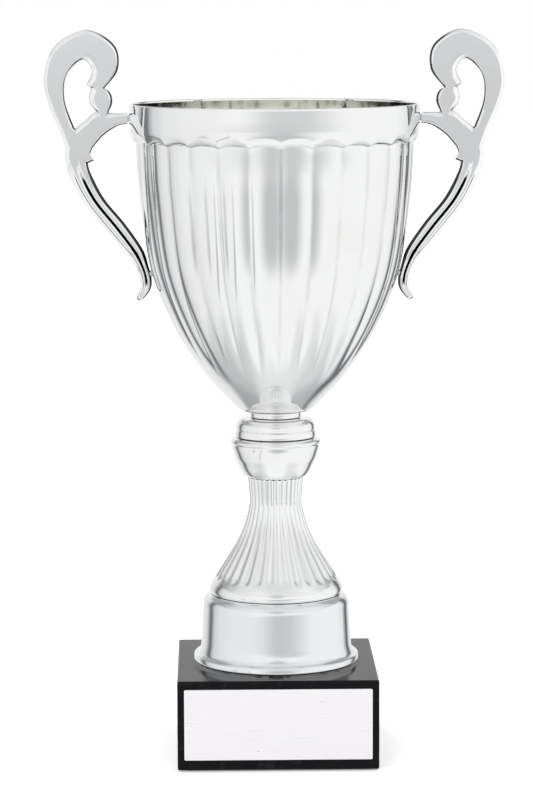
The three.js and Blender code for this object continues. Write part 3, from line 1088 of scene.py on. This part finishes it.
@dataclass
class Foot:
    """The foot, the fluted stem, and the knob and collar over it."""

    base: float
    steps: int = 192
    flute_steps: int = 12
    flute_depth: float = 1.25 * MM
    full_radius: float = 25.0
    flute_start: tuple[float, float] = (33.8, 37.0)
    neck_top_radius: float = 10.2
    cavity_top: float = 64.5
    bore: float = ROD_HOLE

    def skirt(self) -> bpy.types.Object:
        """The round foot, open below.

        Returns:
            The foot.
        """
        profile = [
            (31.0, 1.0),
            *arc((32.8, 1.5), 0.5, -90, 0, 5),
            *arc((32.3, 2.6), 1.0, 0, 75, 6),
            *curve([(32.2, 3.62), (31.5, 4.0), (30.9, 5.1), (30.5, 6.7), (30.3, 8.6)], 14),
            (30.26, 9.4),
            (30.05, 14.0),
            (29.8, 19.0),
            (29.63, 22.5),
            (29.6, 23.2),
            *arc((24.8, 23.7), 4.8, 10, 62, 12),
            (26.4, 28.2),
            (16.0, 28.6),
            (16.0, 26.8),
            *arc((25.2, 24.0), 2.8, 90, 0, 5),
            (28.4, 8.4),
            (31.0, 1.0),
        ]
        piece = turn("foot", profile, self.steps, self.base)
        shade(piece, 30.0)
        return piece

    def gasket(self) -> bpy.types.Object:
        """The rubber ring between the foot and the marble.

        Returns:
            The ring.
        """
        profile = [(26.0, 0.2), *arc((32.15, 0.5), 0.3, -90, 90, 6), (26.0, 0.8), (26.0, 0.2)]
        piece = turn("gasket", profile, 96, self.base)
        shade(piece, 40.0)
        return piece

    def stem(self) -> bpy.types.Object:
        """The bell-shaped stem, whose flutes end above a smooth shoulder.

        Returns:
            The stem.
        """
        shoulder = [(26.5, 28.35), (26.95, 29.3), (26.85, 30.7), (26.25, 32.2), (25.6, 33.3), (24.9, 34.4)]
        flare = [(24.9, 34.4), (20.1, 41.9), (15.6, 49.4), (12.4, 56.8), (10.6, 64.5), (10.7, 70.0),
                 (11.3, 75.6)]
        profile = [
            (24.2, 28.7),
            (25.9, 28.4),
            *curve(shoulder, 18)[:-1],
            *curve(flare, 60),
            (self.bore, 75.6),
            (self.bore, 67.6),
            *curve([(8.4, 64.0), (11.0, 53.0), (16.0, 43.0), (21.0, 35.0), (24.2, 28.7)], 14),
        ]
        piece = turn("stem", profile, FLUTES * self.flute_steps, self.base)

        def hollow(place: Vector) -> float:
            """The share of a full flute's depth at a place on the outside."""
            height = (place.z - self.base) / MM
            radius = math.hypot(place.x, place.y) / MM
            if radius < self.neck_top_radius or self.is_cavity(radius, height):
                return 0.0
            away = flute_away(place, FLUTES, STEM_TURN)
            return min(away**2, 0.94) * smoothstep(height, *self.flute_start) * radius / self.full_radius

        weigh(piece, "hollows", hollow)
        apply_modifier(piece, "DISPLACE", strength=-self.flute_depth, mid_level=0.0, vertex_group="hollows")
        shade(piece, 38.0)
        return piece

    def is_cavity(self, radius: float, height: float) -> bool:
        """Says whether a place is on the stem's inside.

        Args:
            radius: in millimetres.
            height: above the marble, in millimetres.

        Returns:
            True on the wall of the cavity.
        """
        sides = [(26.8, 29.9), (24.9, 34.4), (20.1, 41.9), (15.6, 49.4), (12.4, 56.8), (10.6, 64.5)]
        outside = curve(sides, 40)
        nearest = min(outside, key=lambda p: abs(p[1] - height))
        return height < self.cavity_top and radius < nearest[0] - 1.0

    def bulb(self) -> bpy.types.Object:
        """The lower half of the knob.

        Returns:
            The bulb.
        """
        side = [(11.8, 75.8), (12.9, 76.4), (13.6, 77.4), (14.4, 78.9), (15.5, 81.3), (16.6, 83.8),
                (17.6, 87.4), (17.75, 89.2)]
        profile = [
            (self.bore, 75.8),
            *curve(side, 30),
            *arc((17.1, 90.2), 1.1, -40, 80, 8),
            (16.4, 91.7),
            (15.6, 91.9),
            (self.bore, 91.9),
            (self.bore, 75.8),
        ]
        piece = turn("knob_bulb", profile, self.steps, self.base)
        shade(piece, 35.0)
        return piece

    def cap(self) -> bpy.types.Object:
        """The upper half of the knob, with a fine groove round it.

        Returns:
            The cap.
        """
        profile = [
            (self.bore, 92.1),
            (15.7, 92.1),
            *arc((15.9, 92.6), 0.5, -90, 0, 4),
            (16.3, 93.4),
            (16.1, 94.7),
            (15.75, 94.95),
            (15.75, 95.2),
            (16.0, 95.4),
            *arc((12.4, 96.2), 3.5, 0, 80, 14),
            (11.6, 99.8),
            (self.bore, 99.8),
            (self.bore, 92.1),
        ]
        piece = turn("knob_cap_ring", profile, self.steps, self.base)
        shade(piece, 35.0)
        return piece

    def collar(self) -> bpy.types.Object:
        """The short collar under the cup.

        Returns:
            The collar.
        """
        profile = [
            (self.bore, 100.0),
            (10.1, 100.0),
            *arc((10.1, 100.3), 0.3, -90, 0, 4),
            *arc((10.1, 101.9), 0.3, 0, 90, 4),
            (self.bore, 102.2),
            (self.bore, 100.0),
        ]
        piece = turn("collar", profile, 128, self.base)
        shade(piece, 35.0)
        return piece

    def build(self, wardrobe: Wardrobe) -> None:
        """Builds and dresses the foot's pieces.

        Args:
            wardrobe: the finishes.
        """
        gasket = self.gasket()
        gasket.visible_glossy = False
        wardrobe.dress(gasket, "foot_gasket", Slot.RUBBER)
        hand_over(self.skirt(), "foot_skirt", wardrobe.greyer_foot)
        wardrobe.dress(self.stem(), "stem_bell", Slot.FOOT)
        wardrobe.dress(self.bulb(), "knop_bulb", Slot.FOOT)
        wardrobe.dress(self.cap(), "knop_cap", Slot.FOOT)
        wardrobe.dress(self.collar(), "neck_collar", Slot.FOOT)


# ---- The cup ----


@dataclass
class Cup:
    """The fluted cup with its plain band."""

    base: float
    flute_steps: int = 16
    flute_depth: float = 0.60 * MM
    flute_start: tuple[float, float] = (117.0, 136.0)
    flute_end: float = 210.0
    scallop: float = 1.3 * MM
    scallop_start: tuple[float, float] = (204.0, 209.8)
    scallop_end: tuple[float, float] = (215.0, 211.8)
    thick_radius: float = 14 * MM
    lip_edge: float = 0.35 * MM
    wall: float = 1.3
    floor: float = 2.0

    def shell(self) -> bpy.types.Object:
        """The cup's outside as a round shell, from the bore up to the lip.

        Returns:
            The open shell.
        """
        heel = [(12.6, 102.4), (13.9, 102.7), (14.9, 103.3), (16.1, 104.4)]
        body = [(16.1, 104.4), (28.6, 118.0), (41.0, 137.4), (49.9, 160.3), (54.3, 190.0), (55.6, 209.9)]
        ledge = [(56.3, 210.6), (57.0, 211.7), (57.45, 212.9), (57.7, 214.4), (57.85, 216.4)]
        profile = [
            (ROD_HOLE, 102.4),
            (8.0, 102.4),
            (12.2, 102.4),
            *curve(heel, 6)[:-1],
            *curve(body, 60),
            *curve(ledge, 9),
            (57.9, 217.2),
            (57.9, 221.0),
            (57.9, 224.7),
            (57.9, 225.7),
        ]
        return turn("cup", profile, FLUTES * self.flute_steps, self.base)

    def hollow(self, place: Vector) -> float:
        """The share of a full flute's depth at a place."""
        height = (place.z - self.base) / MM
        if height > self.flute_end:
            return 0.0
        away = flute_away(place, FLUTES, CUP_TURN)
        return min(away**2, 0.95) * smoothstep(height, *self.flute_start)

    def rise(self, place: Vector) -> float:
        """The share of a full scallop at a place."""
        height = (place.z - self.base) / MM
        away = flute_away(place, FLUTES, CUP_TURN)
        near = smoothstep(height, *self.scallop_start) * smoothstep(height, *self.scallop_end)
        return (1 - away**2) * near

    def cup(self) -> bpy.types.Object:
        """The cup: fluted, scalloped, given its wall, and with a round lip.

        Returns:
            The cup.
        """
        piece = self.shell()
        weigh(piece, "hollows", self.hollow)
        weigh(piece, "scallops", self.rise)
        weigh(piece, "thick", lambda place: float(math.hypot(place.x, place.y) < self.thick_radius))
        apply_modifier(piece, "DISPLACE", strength=-self.flute_depth, mid_level=0.0, vertex_group="hollows")
        apply_modifier(piece, "DISPLACE", direction="Z", strength=self.scallop, mid_level=0.0,
                       vertex_group="scallops")
        apply_modifier(piece, "SOLIDIFY", thickness=self.floor * MM, offset=-1.0, vertex_group="thick",
                       thickness_vertex_group=self.wall / self.floor)
        apply_modifier(piece, "BEVEL", width=self.lip_edge, segments=3, limit_method="ANGLE",
                       angle_limit=math.radians(70))
        shade(piece, 34.0)
        return piece

    def build(self, wardrobe: Wardrobe) -> None:
        """Builds and dresses the cup.

        Args:
            wardrobe: the finishes.
        """
        wardrobe.dress(self.cup(), "bowl", Slot.BOWL)


# ---- The handles ----


@dataclass(frozen=True)
class Stretch:
    """A length of a handle between two edges, each a curve through a few (x, height) points, in mm."""

    inner: tuple[Point, ...]
    outer: tuple[Point, ...]
    count: int


@dataclass(frozen=True)
class EdgeShape:
    """How a handle's edge rises from the side wall to the face."""

    width: float
    rise: tuple[Point, ...]

    def height(self, place: float) -> float:
        """The share of the half thickness at a share of the edge's width.

        Args:
            place: 0 at the side wall, 1 where the flat face starts.

        Returns:
            The share of the half thickness.
        """
        if place >= 1.0:
            return 1.0
        for (x0, h0), (x1, h1) in zip(self.rise, self.rise[1:]):
            if place <= x1:
                return h0 + (h1 - h0) * (place - x0) / (x1 - x0)
        return 1.0


@dataclass
class Handles:
    """The two cast handles: a reeded leg that rises into a flat scroll, and the arm to the cup's band."""

    base: float
    thickness: float = 5.0
    arm_relief: float = 0.02
    steep: EdgeShape = EdgeShape(1.2, ((0, 0.12), (0.1, 0.36), (0.25, 0.56), (0.45, 0.76), (0.66, 0.93),
                                       (0.82, 0.98), (1, 1)))
    broad: EdgeShape = EdgeShape(1.9, ((0, 0.25), (0.03, 0.45), (0.08, 0.55), (0.2, 0.63), (0.5, 0.78),
                                       (0.8, 0.93), (1, 1)))
    reed_wall: float = 1.1
    reed_crown: float = 0.3
    groove_place: float = 0.45
    groove: tuple[float, float] = (0.6, 1.25)
    step: tuple[float, float] = (0.38, 0.85)
    outer_chamfer: tuple[float, float] = (1.7, 0.85)
    arm_reach: float = 74.0
    arm_bottom: tuple[float, float] = (202.8, 204.4)
    arm_top: tuple[float, float] = (216.6, 215.2)

    def sections(self, stretches: Sequence[Stretch]) -> list[tuple[Point, Point]]:
        """The pairs of edge points along some stretches.

        Args:
            stretches: the stretches, each of which starts where the last one ends.

        Returns:
            (inner, outer) points, in order.
        """
        pairs: list[tuple[Point, Point]] = []
        for stretch in stretches:
            inner, outer = (self.even(edge, stretch.count) for edge in (stretch.inner, stretch.outer))
            made = list(zip(inner, outer))
            pairs += made if not pairs else made[1:]
        return pairs

    def even(self, points: Sequence[Point], count: int) -> list[Point]:
        """Evenly spaced points along a curve.

        Args:
            points: what the curve passes through.
            count: how many steps it is cut into.

        Returns:
            count + 1 points.
        """
        fine = curve(points, 40 * len(points))
        lengths = [0.0]
        for before, after in zip(fine, fine[1:]):
            lengths.append(lengths[-1] + math.dist(before, after))
        found = []
        i = 0
        for step in range(count + 1):
            target = lengths[-1] * step / count
            while i < len(lengths) - 2 and lengths[i + 1] < target:
                i += 1
            share = (target - lengths[i]) / max(lengths[i + 1] - lengths[i], 1e-9)
            found.append(tuple(a + (b - a) * min(share, 1.0) for a, b in zip(fine[i], fine[i + 1])))
        return found

    def across(self, width: float, reeded: float, inner_steep: float, outer_steep: float,
               squared: float) -> list[Point]:
        """Half a section: how high the face stands at places across it.

        Args:
            width: the section's width, in millimetres.
            reeded: the share of the reeding, from 0 to 1.
            inner_steep: how steep the inner edge is, from 0 to 1.
            outer_steep: how steep the outer edge is, from 0 to 1.
            squared: how far the inner edge is squared off, from 0 to 1.

        Returns:
            (distance from the inner edge, half thickness there), in millimetres.
        """
        half = self.thickness / 2
        fit = min(1.0, width / 7.0)
        inner = fit * (self.broad.width + (self.steep.width - self.broad.width) * inner_steep)
        inner = max(inner * (1 - squared), 0.01)
        outer = fit * (self.broad.width + (self.steep.width - self.broad.width) * outer_steep)
        wall, chamfer = self.reed_wall * fit, self.outer_chamfer[0] * fit
        gap, step = self.groove[0] * fit, self.step[0] * fit
        middle = width * self.groove_place
        shares = [0.0, 0.04, 0.1, 0.18, 0.27, 0.36, 0.46, 0.56, 0.67, 0.8, 0.9, 1.0]
        places = [inner * share for share in shares] + [width - outer * share for share in shares]
        places += [wall, middle - gap, middle - gap / 2, middle, middle + gap / 2, middle + gap]
        places += [width - chamfer - step, width - chamfer - step / 2, width - chamfer]
        places += [width * (0.3 + 0.05 * i) for i in range(9)]
        found = []
        for d in sorted(places):
            rise = [
                self.broad.height(share) + (self.steep.height(share) - self.broad.height(share)) * steep
                for share, steep in ((d / inner, inner_steep), ((width - d) / outer, outer_steep))
            ]
            plain = half * min(rise)
            reed = self.reed(d, half, [0.0, wall, middle - gap, middle, middle + gap, width - chamfer - step,
                                       width - chamfer, width], fit)
            found.append((d, plain + (reed - plain) * reeded))
        return found

    def reed(self, d: float, half: float, marks: Sequence[float], fit: float) -> float:
        """How high a reeded face stands: two reeds with a groove between them, and a chamfer outside.

        Args:
            d: the distance from the inner edge.
            half: half the handle's thickness.
            marks: where the wall, the reeds, the groove, the step and the chamfer start and end.
            fit: how far the section is scaled down to its width.

        Returns:
            The half thickness there, in millimetres.
        """
        edge, wall, groove_in, middle, groove_out, step_in, step_out, width = marks
        top = half - self.reed_crown
        deep = top - self.groove[1] * fit
        low = top - self.step[1] * fit
        if d < wall:
            return 0.1 * half + (top - 0.1 * half) * (d - edge) / wall
        if d < groove_in:
            return self.crown(top, (d - wall) / (groove_in - wall))
        if d < middle:
            return top + (deep - top) * (d - groove_in) / (middle - groove_in)
        if d < groove_out:
            return deep + (top - deep) * (d - middle) / (groove_out - middle)
        if d < step_in:
            return self.crown(top, (d - groove_out) / (step_in - groove_out))
        if d < step_out:
            return top + (low - top) * (d - step_in) / (step_out - step_in)
        return low - self.outer_chamfer[1] * fit * (d - step_out) / (width - step_out)

    def crown(self, top: float, share: float) -> float:
        """The height of a reed's round back.

        Args:
            top: the height of its sides.
            share: the place across it, from 0 to 1.

        Returns:
            The height there.
        """
        return top + self.reed_crown * math.sqrt(max(1 - (2 * share - 1) ** 2, 0.0))

    def loft(self, name: str, stretches: Sequence[Stretch], reeding: Callable[[float], float], relief: float,
             round_start: float = 0.0) -> bpy.types.Object:
        """A closed bar between two edges.

        Args:
            name: the new piece's name.
            stretches: the bar's edges.
            reeding: gives the share of the reeding at a height.
            relief: how much thinner each face is, in millimetres.
            round_start: how far the start is rounded out, in millimetres.

        Returns:
            The bar, merged and with its faces outwards.
        """
        pairs = self.sections(stretches)
        rings = [self.ring(inner, outer, reeding, relief, 1.0) for inner, outer in pairs]
        if round_start:
            (i0, o0), (i1, o1) = pairs[0], pairs[1]
            back = (Vector(i0) + Vector(o0) - Vector(i1) - Vector(o1)).normalized()
            for share in (0.35, 0.62, 0.82, 0.95):
                shrink = math.sqrt(1 - share**2)
                middle = (Vector(i0) + Vector(o0)) / 2 + back * round_start * share
                ends = [middle + (Vector(p) - (Vector(i0) + Vector(o0)) / 2) * shrink for p in (i0, o0)]
                rings.insert(0, self.ring(tuple(ends[0]), tuple(ends[1]), reeding, relief, shrink))
        around = len(rings[0])
        piece = add_primitive(name, bpy.ops.mesh.primitive_grid_add, x_subdivisions=around,
                              y_subdivisions=len(rings) - 1, size=MM)
        places = [place for ring in rings for place in (*ring, ring[0])]
        for vertex, place in zip(piece.data.vertices, places, strict=True):
            vertex.co = place
        close_up(piece, 1e-7)
        with editing(piece, Domain.EDGES):
            bpy.ops.mesh.select_non_manifold()
            bpy.ops.mesh.fill()
        close_up(piece, 1e-7)
        return piece

    def ring(self, inner: Point, outer: Point, reeding: Callable[[float], float], relief: float,
             scale: float) -> list[Vector]:
        """One section of a bar, as a ring of places.

        Args:
            inner: its point on the inner edge.
            outer: its point on the outer edge.
            reeding: gives the share of the reeding at a height.
            relief: how much thinner each face is, in millimetres.
            scale: a share that the thickness is drawn in to.

        Returns:
            Places in metres, along the front from inner to outer and back behind.
        """
        start, end = Vector(inner), Vector(outer)
        width = (end - start).length
        away = (end - start) / width
        facing = away.x + 0.3 * away.y
        half = self.across(width, reeding((start.y + end.y) / 2), smoothstep(facing, -0.2, 0.2),
                           smoothstep(facing, 0.2, -0.2), self.hidden(start))
        front = []
        for distance, height in half:
            place = start.lerp(end, distance / width)
            front.append((place.x, -(height - relief) * scale, place.y))
        back = [(x, -y, z) for x, y, z in reversed(front)]
        return [Vector((x * MM, y * MM, z * MM + self.base)) for x, y, z in front + back]

    def hidden(self, inner: Vector) -> float:
        """How far the inner edge of the scroll lies inside the arm.

        Args:
            inner: a point of the inner edge, in millimetres.

        Returns:
            1 where the arm covers the edge, 0 where it is free.
        """
        covered = smoothstep(inner.y, *self.arm_bottom) * smoothstep(inner.y, *self.arm_top)
        return float(inner.x > self.arm_reach) * covered

    def handle(self, name: str) -> bpy.types.Object:
        """The handle on the +X side.

        Args:
            name: the new piece's name.

        Returns:
            The handle.
        """
        leg = Stretch(
            inner=((52.6, 147.9), (50.0, 151.2), (49.3, 155.3), (50.7, 161.4), (52.9, 167.9), (59.8, 178.0),
                   (68.0, 188.1), (73.3, 198.4), (74.6, 203.5), (76.8, 209.5)),
            outer=((55.3, 148.8), (54.2, 151.6), (53.9, 154.4), (56.2, 161.7), (64.3, 171.4), (75.7, 185.7),
                   (82.0, 198.0), (83.6, 205.0), (83.1, 208.0)),
            count=110,
        )
        junction = Stretch(
            inner=((76.8, 209.5), (79.4, 216.0)),
            outer=((83.1, 208.0), (85.0, 214.0)),
            count=8,
        )
        crescent = Stretch(
            inner=((79.4, 216.0), (83.2, 227.0), (82.4, 237.0), (76.3, 243.2), (72.3, 239.0), (74.6, 233.4)),
            outer=((85.0, 214.0), (89.4, 225.0), (91.4, 236.6), (86.8, 248.9), (74.3, 254.9), (63.4, 249.0),
                   (62.0, 239.4), (67.4, 231.9)),
            count=110,
        )
        bead = Stretch(
            inner=((74.6, 233.4), (72.9, 232.0), (73.2, 230.2), (73.7, 228.0), (72.8, 225.2), (70.7, 222.4),
                   (70.0, 220.0)),
            outer=((67.4, 231.9), (65.5, 230.6), (64.5, 228.4), (64.5, 225.6), (65.9, 222.4), (66.6, 220.0)),
            count=26,
        )
        arm = [
            Stretch(inner=((58.4, 217.7), (62.5, 216.8), (68.0, 213.2), (72.4, 208.2)),
                    outer=((58.4, 222.1), (62.0, 222.0), (65.3, 222.1), (70.9, 222.6), (75.0, 219.4)),
                    count=28),
            Stretch(inner=((72.4, 208.2), (73.1, 206.2), (72.9, 204.8), (71.9, 203.2)),
                    outer=((75.0, 219.4), (77.2, 217.8), (79.4, 216.0)), count=8),
            Stretch(inner=((71.9, 203.2), (74.2, 202.2)), outer=((79.4, 216.0), (81.0, 213.5)), count=3),
            Stretch(inner=((74.2, 202.2), (78.5, 204.0)), outer=((81.0, 213.5), (81.0, 211.0)), count=3),
        ]

        def reeding(height: float) -> float:
            """The share of the reeding, which fades out below the scroll and at the toe."""
            return smoothstep(height, 205.0, 190.0) * (0.35 + 0.65 * smoothstep(height, 149.0, 160.0))

        scroll = self.loft(name, [leg, junction, crescent, bead], reeding, 0.0, round_start=1.3)
        bar = self.loft("arm", arm, lambda height: 0.0, self.arm_relief)
        combine(scroll, bar, "UNION")
        close_up(scroll, 1e-6)
        shade(scroll, 32.0, flat_faces=True)
        return scroll

    def build(self, wardrobe: Wardrobe) -> None:
        """Builds the right handle, and its copy turned half round for the left.

        Args:
            wardrobe: the finishes.
        """
        right = self.handle("scroll_handle_right")
        left = right.copy()
        left.data = right.data.copy()
        left.name = "scroll_handle_left"
        left.data.name = left.name
        bpy.context.scene.collection.objects.link(left)
        left.data.transform(Matrix.Rotation(math.pi, 4, "Z"))
        wardrobe.dress(right, "handle_right", Slot.HANDLE)
        wardrobe.dress(left, "handle_left", Slot.HANDLE)


# ---- What clamps the cup, and the handles' screws ----


class Fixings:
    """The tie rod with its nuts and washers, and the screws of the handles."""

    zinc_nodes = ("tie_rod", "base_nut", "base_washer", "bowl_washer", "cap_nut")

    def build(self, wardrobe: Wardrobe) -> None:
        """Gives the fixings' own solids their finishes.

        Args:
            wardrobe: the finishes.
        """
        for node in frame["nodes"]:
            if node in self.zinc_nodes or node.startswith("screw"):
                wardrobe.repaint(node, Slot.STEEL)
        wardrobe.repaint("bowl_seal", Slot.FIBRE)


# ---- The studio ----


@dataclass(frozen=True)
class Patch:
    """A soft oval patch of grey before the cup, which only reflections show."""

    middle: tuple[float, float]
    size: tuple[float, float]
    grey: float


@dataclass
class Studio:
    """A pale floor, soft surroundings and the camera."""

    lens: float = 138.55
    sensor: float = 36.0
    view_end: float = 50.0
    place: tuple[float, float, float] = (-25.6 * MM, -1228.9 * MM, 309.9 * MM)
    tilt: float = 0.1348
    yaw: float = 0.0184
    roll: float = 0.0035
    floor_size: float = 12.0
    floor_drop: float = 0.02 * MM
    floor_glow: float = 0.3
    lamp_size: tuple[float, float] = (1.6, 1.2)
    lamp_power: float = 9.0
    lamp_place: tuple[float, float, float] = (-1.2, -1.4, 1.7)
    lamp_aim: tuple[float, float, float] = (0.0, 0.0, 0.12)
    walls: Stops = (
        (-180, 0.98), (-150, 1.0), (-128, 0.95), (-104, 0.92), (-84, 0.86), (-69, 0.74), (-63, 0.50),
        (-59, 0.20), (-54, 0.20), (-48, 0.50), (-41, 0.80), (-28, 0.88), (-12, 0.94), (0, 0.95), (14, 0.92),
        (28, 0.82), (34, 0.48), (38, 0.17), (43, 0.17), (49, 0.54), (55, 0.90), (72, 0.99), (96, 1.0),
        (160, 1.0), (180, 0.98),
    )
    lintel: Stops = (
        (-180, 0.82), (-144, 0.93), (-100, 0.80), (-80, 0.60), (-62, 0.38), (-30, 0.44), (0, 0.40),
        (40, 0.45), (60, 0.44), (74, 0.76), (110, 0.94), (180, 0.82),
    )
    table: Stops = (
        (-180, 1.0), (-150, 1.0), (-110, 0.72), (-70, 0.56), (-44, 0.42), (-28, 0.12), (26, 0.12),
        (44, 0.48), (80, 0.72), (120, 0.84), (150, 1.0), (180, 1.0),
    )
    ceiling_grey: float = 0.80
    ground_grey: float = 0.84
    patches: tuple[Patch, ...] = (
        Patch(middle=(0.0, -0.115), size=(1.05, 0.075), grey=0.86),
        Patch(middle=(0.20, -0.07), size=(0.74, 0.14), grey=0.70),
        Patch(middle=(0.08, -0.30), size=(0.58, 0.30), grey=0.60),
        Patch(middle=(-0.84, -0.46), size=(0.07, 0.33), grey=0.50),
        Patch(middle=(-0.60, -0.46), size=(0.05, 0.33), grey=0.58),
        Patch(middle=(0.02, 0.42), size=(0.30, 0.30), grey=0.66),
    )
    dark_tint: Colour = (0.0, 0.012, 0.022)
    fill: Colour = (1.12, 1.12, 1.12)

    def camera(self) -> None:
        """Puts the camera in front of the cup, a little above it."""
        data = bpy.data.cameras.new("camera")
        data.lens = self.lens
        data.sensor_width = self.sensor
        data.clip_end = self.view_end
        camera = bpy.data.objects.new("camera", data)
        camera.location = self.place
        camera.rotation_euler = (math.pi / 2 - self.tilt, self.roll, -self.yaw)
        bpy.context.scene.collection.objects.link(camera)
        bpy.context.scene.camera = camera

    def floor(self, effects: Effects) -> None:
        """Lays the floor.

        Args:
            effects: the shared node groups.
        """
        piece = add_primitive("floor", bpy.ops.mesh.primitive_plane_add, size=self.floor_size,
                              location=(0, 0, -self.floor_drop))
        paper = MatteGrain("pale_paper", (0.93, 0.93, 0.93), (0.91, 0.91, 0.91), 300.0, 0.02 * MM, 0.9)
        material = paper.build(effects)
        glow = material.node_tree.nodes["Principled BSDF"].inputs
        glow["Emission Color"].default_value = opaque((1.0, 1.0, 1.0))
        glow["Emission Strength"].default_value = self.floor_glow
        piece.data.materials.append(material)
        piece.visible_glossy = False

    def ramp(self, graph: Graph, bearing: bpy.types.NodeSocket, stops: Stops) -> bpy.types.NodeSocket:
        """A grey that follows a few stops round the cup.

        Args:
            graph: the world's graph.
            bearing: the output that goes from 0 to 1 round the cup, and is 0.5 behind it.
            stops: (degrees, grey) pairs, 0 degrees behind the cup and 90 on its right.

        Returns:
            The grey.
        """
        node = graph.add("ShaderNodeValToRGB", {"Fac": bearing})
        node.color_ramp.interpolation = "EASE"
        elements = node.color_ramp.elements
        while len(elements) > 1:
            elements.remove(elements[-1])
        for i, (degrees, grey) in enumerate(stops):
            place = degrees / 360 + 0.5
            element = elements[0] if i == 0 else elements.new(place)
            element.position = place
            element.color = (grey, grey, grey, 1.0)
        return node.outputs["Color"]

    def patch_mask(self, graph: Graph, x: bpy.types.NodeSocket, z: bpy.types.NodeSocket,
                   patch: Patch) -> bpy.types.NodeSocket:
        """How much of a patch a direction meets.

        Args:
            graph: the world's graph.
            x: how far the direction points to the right, from -1 to 1.
            z: how far it points up, from -1 to 1.
            patch: the patch.

        Returns:
            The mask, 0 outside the patch and 1 near its middle.
        """
        squares = []
        for value, middle, size in zip((x, z), patch.middle, patch.size):
            away = graph.math("DIVIDE", graph.math("SUBTRACT", value, middle), size)
            squares.append(graph.math("MULTIPLY", away, away))
        reach = graph.math("SQRT", graph.math("ADD", squares[0], squares[1]))
        return graph.remap(reach, 1.0, 0.25)

    def surroundings(self) -> None:
        """Builds the world: a pale backdrop to the eye, and in reflections soft walls with two dark gaps,
        a lintel, a table, a ceiling and a few grey patches before the cup."""
        world = bpy.data.worlds.new("studio")
        world.use_nodes = True
        bpy.context.scene.world = world
        graph = Graph(world.node_tree)
        out = world.node_tree.nodes["World Output"]
        parts = graph.add("ShaderNodeSeparateXYZ", {0: graph.add("ShaderNodeTexCoord").outputs["Generated"]})
        x, y, z = (parts.outputs[name] for name in "XYZ")
        bearing = graph.math("MULTIPLY_ADD", graph.math("ARCTAN2", x, y), 1 / math.tau, 0.5)
        height = graph.math("MULTIPLY_ADD", graph.math("ARCSINE", z), 1 / math.pi, 0.5)

        def between(start: float, end: float) -> bpy.types.NodeSocket:
            """The share that eases in between two heights, in degrees over the horizon."""
            return graph.remap(height, start / 180 + 0.5, end / 180 + 0.5)

        walls, lintel, table = (self.ramp(graph, bearing, stops)
                                for stops in (self.walls, self.lintel, self.table))
        reflected = graph.blend(between(18, 27), walls, lintel)
        reflected = graph.blend(between(44, 60), reflected, opaque((self.ceiling_grey,) * 3))
        reflected = graph.blend(between(-42, -54), reflected, table)
        reflected = graph.blend(between(-68, -82), reflected, opaque((self.ground_grey,) * 3))
        front = graph.remap(y, -0.3, -0.5)
        for patch in self.patches:
            mask = graph.math("MULTIPLY", self.patch_mask(graph, x, z, patch), front)
            reflected = graph.blend(mask, reflected, opaque((patch.grey,) * 3))
        grey = graph.add("ShaderNodeRGBToBW", {0: reflected}).outputs[0]
        reflected = graph.blend(grey, opaque(self.dark_tint), opaque((1.0, 1.0, 1.0)))
        path = graph.add("ShaderNodeLightPath")
        seen = graph.blend(path.outputs["Is Camera Ray"], opaque(self.fill), opaque((1.0, 1.0, 1.0)))
        colour = graph.blend(path.outputs["Is Glossy Ray"], seen, reflected)
        background = graph.add("ShaderNodeBackground", {"Color": colour, "Strength": 1.0})
        graph.tree.links.new(background.outputs[0], out.inputs["Surface"])

    def lamp(self) -> None:
        """Adds one wide soft lamp over the camera's left shoulder."""
        data = bpy.data.lights.new("softbox", "AREA")
        data.shape = "RECTANGLE"
        data.size, data.size_y = self.lamp_size
        data.energy = self.lamp_power
        lamp = bpy.data.objects.new("softbox", data)
        lamp.location = self.lamp_place
        aim = Vector(self.lamp_aim) - Vector(self.lamp_place)
        lamp.rotation_euler = aim.to_track_quat("-Z", "Y").to_euler()
        lamp.visible_glossy = False
        bpy.context.scene.collection.objects.link(lamp)

    def build(self, effects: Effects) -> None:
        """Sets up the studio.

        Args:
            effects: the shared node groups.
        """
        bpy.context.scene.view_settings.view_transform = "Standard"
        self.camera()
        self.floor(effects)
        self.surroundings()
        self.lamp()


def main() -> None:
    """Builds the studio and every piece of the trophy."""
    logging.basicConfig(level=logging.INFO, format="%(name)s: %(message)s")
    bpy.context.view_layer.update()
    effects = Effects()
    Studio().build(effects)
    wardrobe = Wardrobe(effects)
    marble_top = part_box("marble_base")[1].z
    Block().build(wardrobe)
    Foot(marble_top).build(wardrobe)
    Cup(marble_top).build(wardrobe)
    Handles(marble_top).build(wardrobe)
    Fixings().build(wardrobe)


if __name__ == "__main__":
    main()
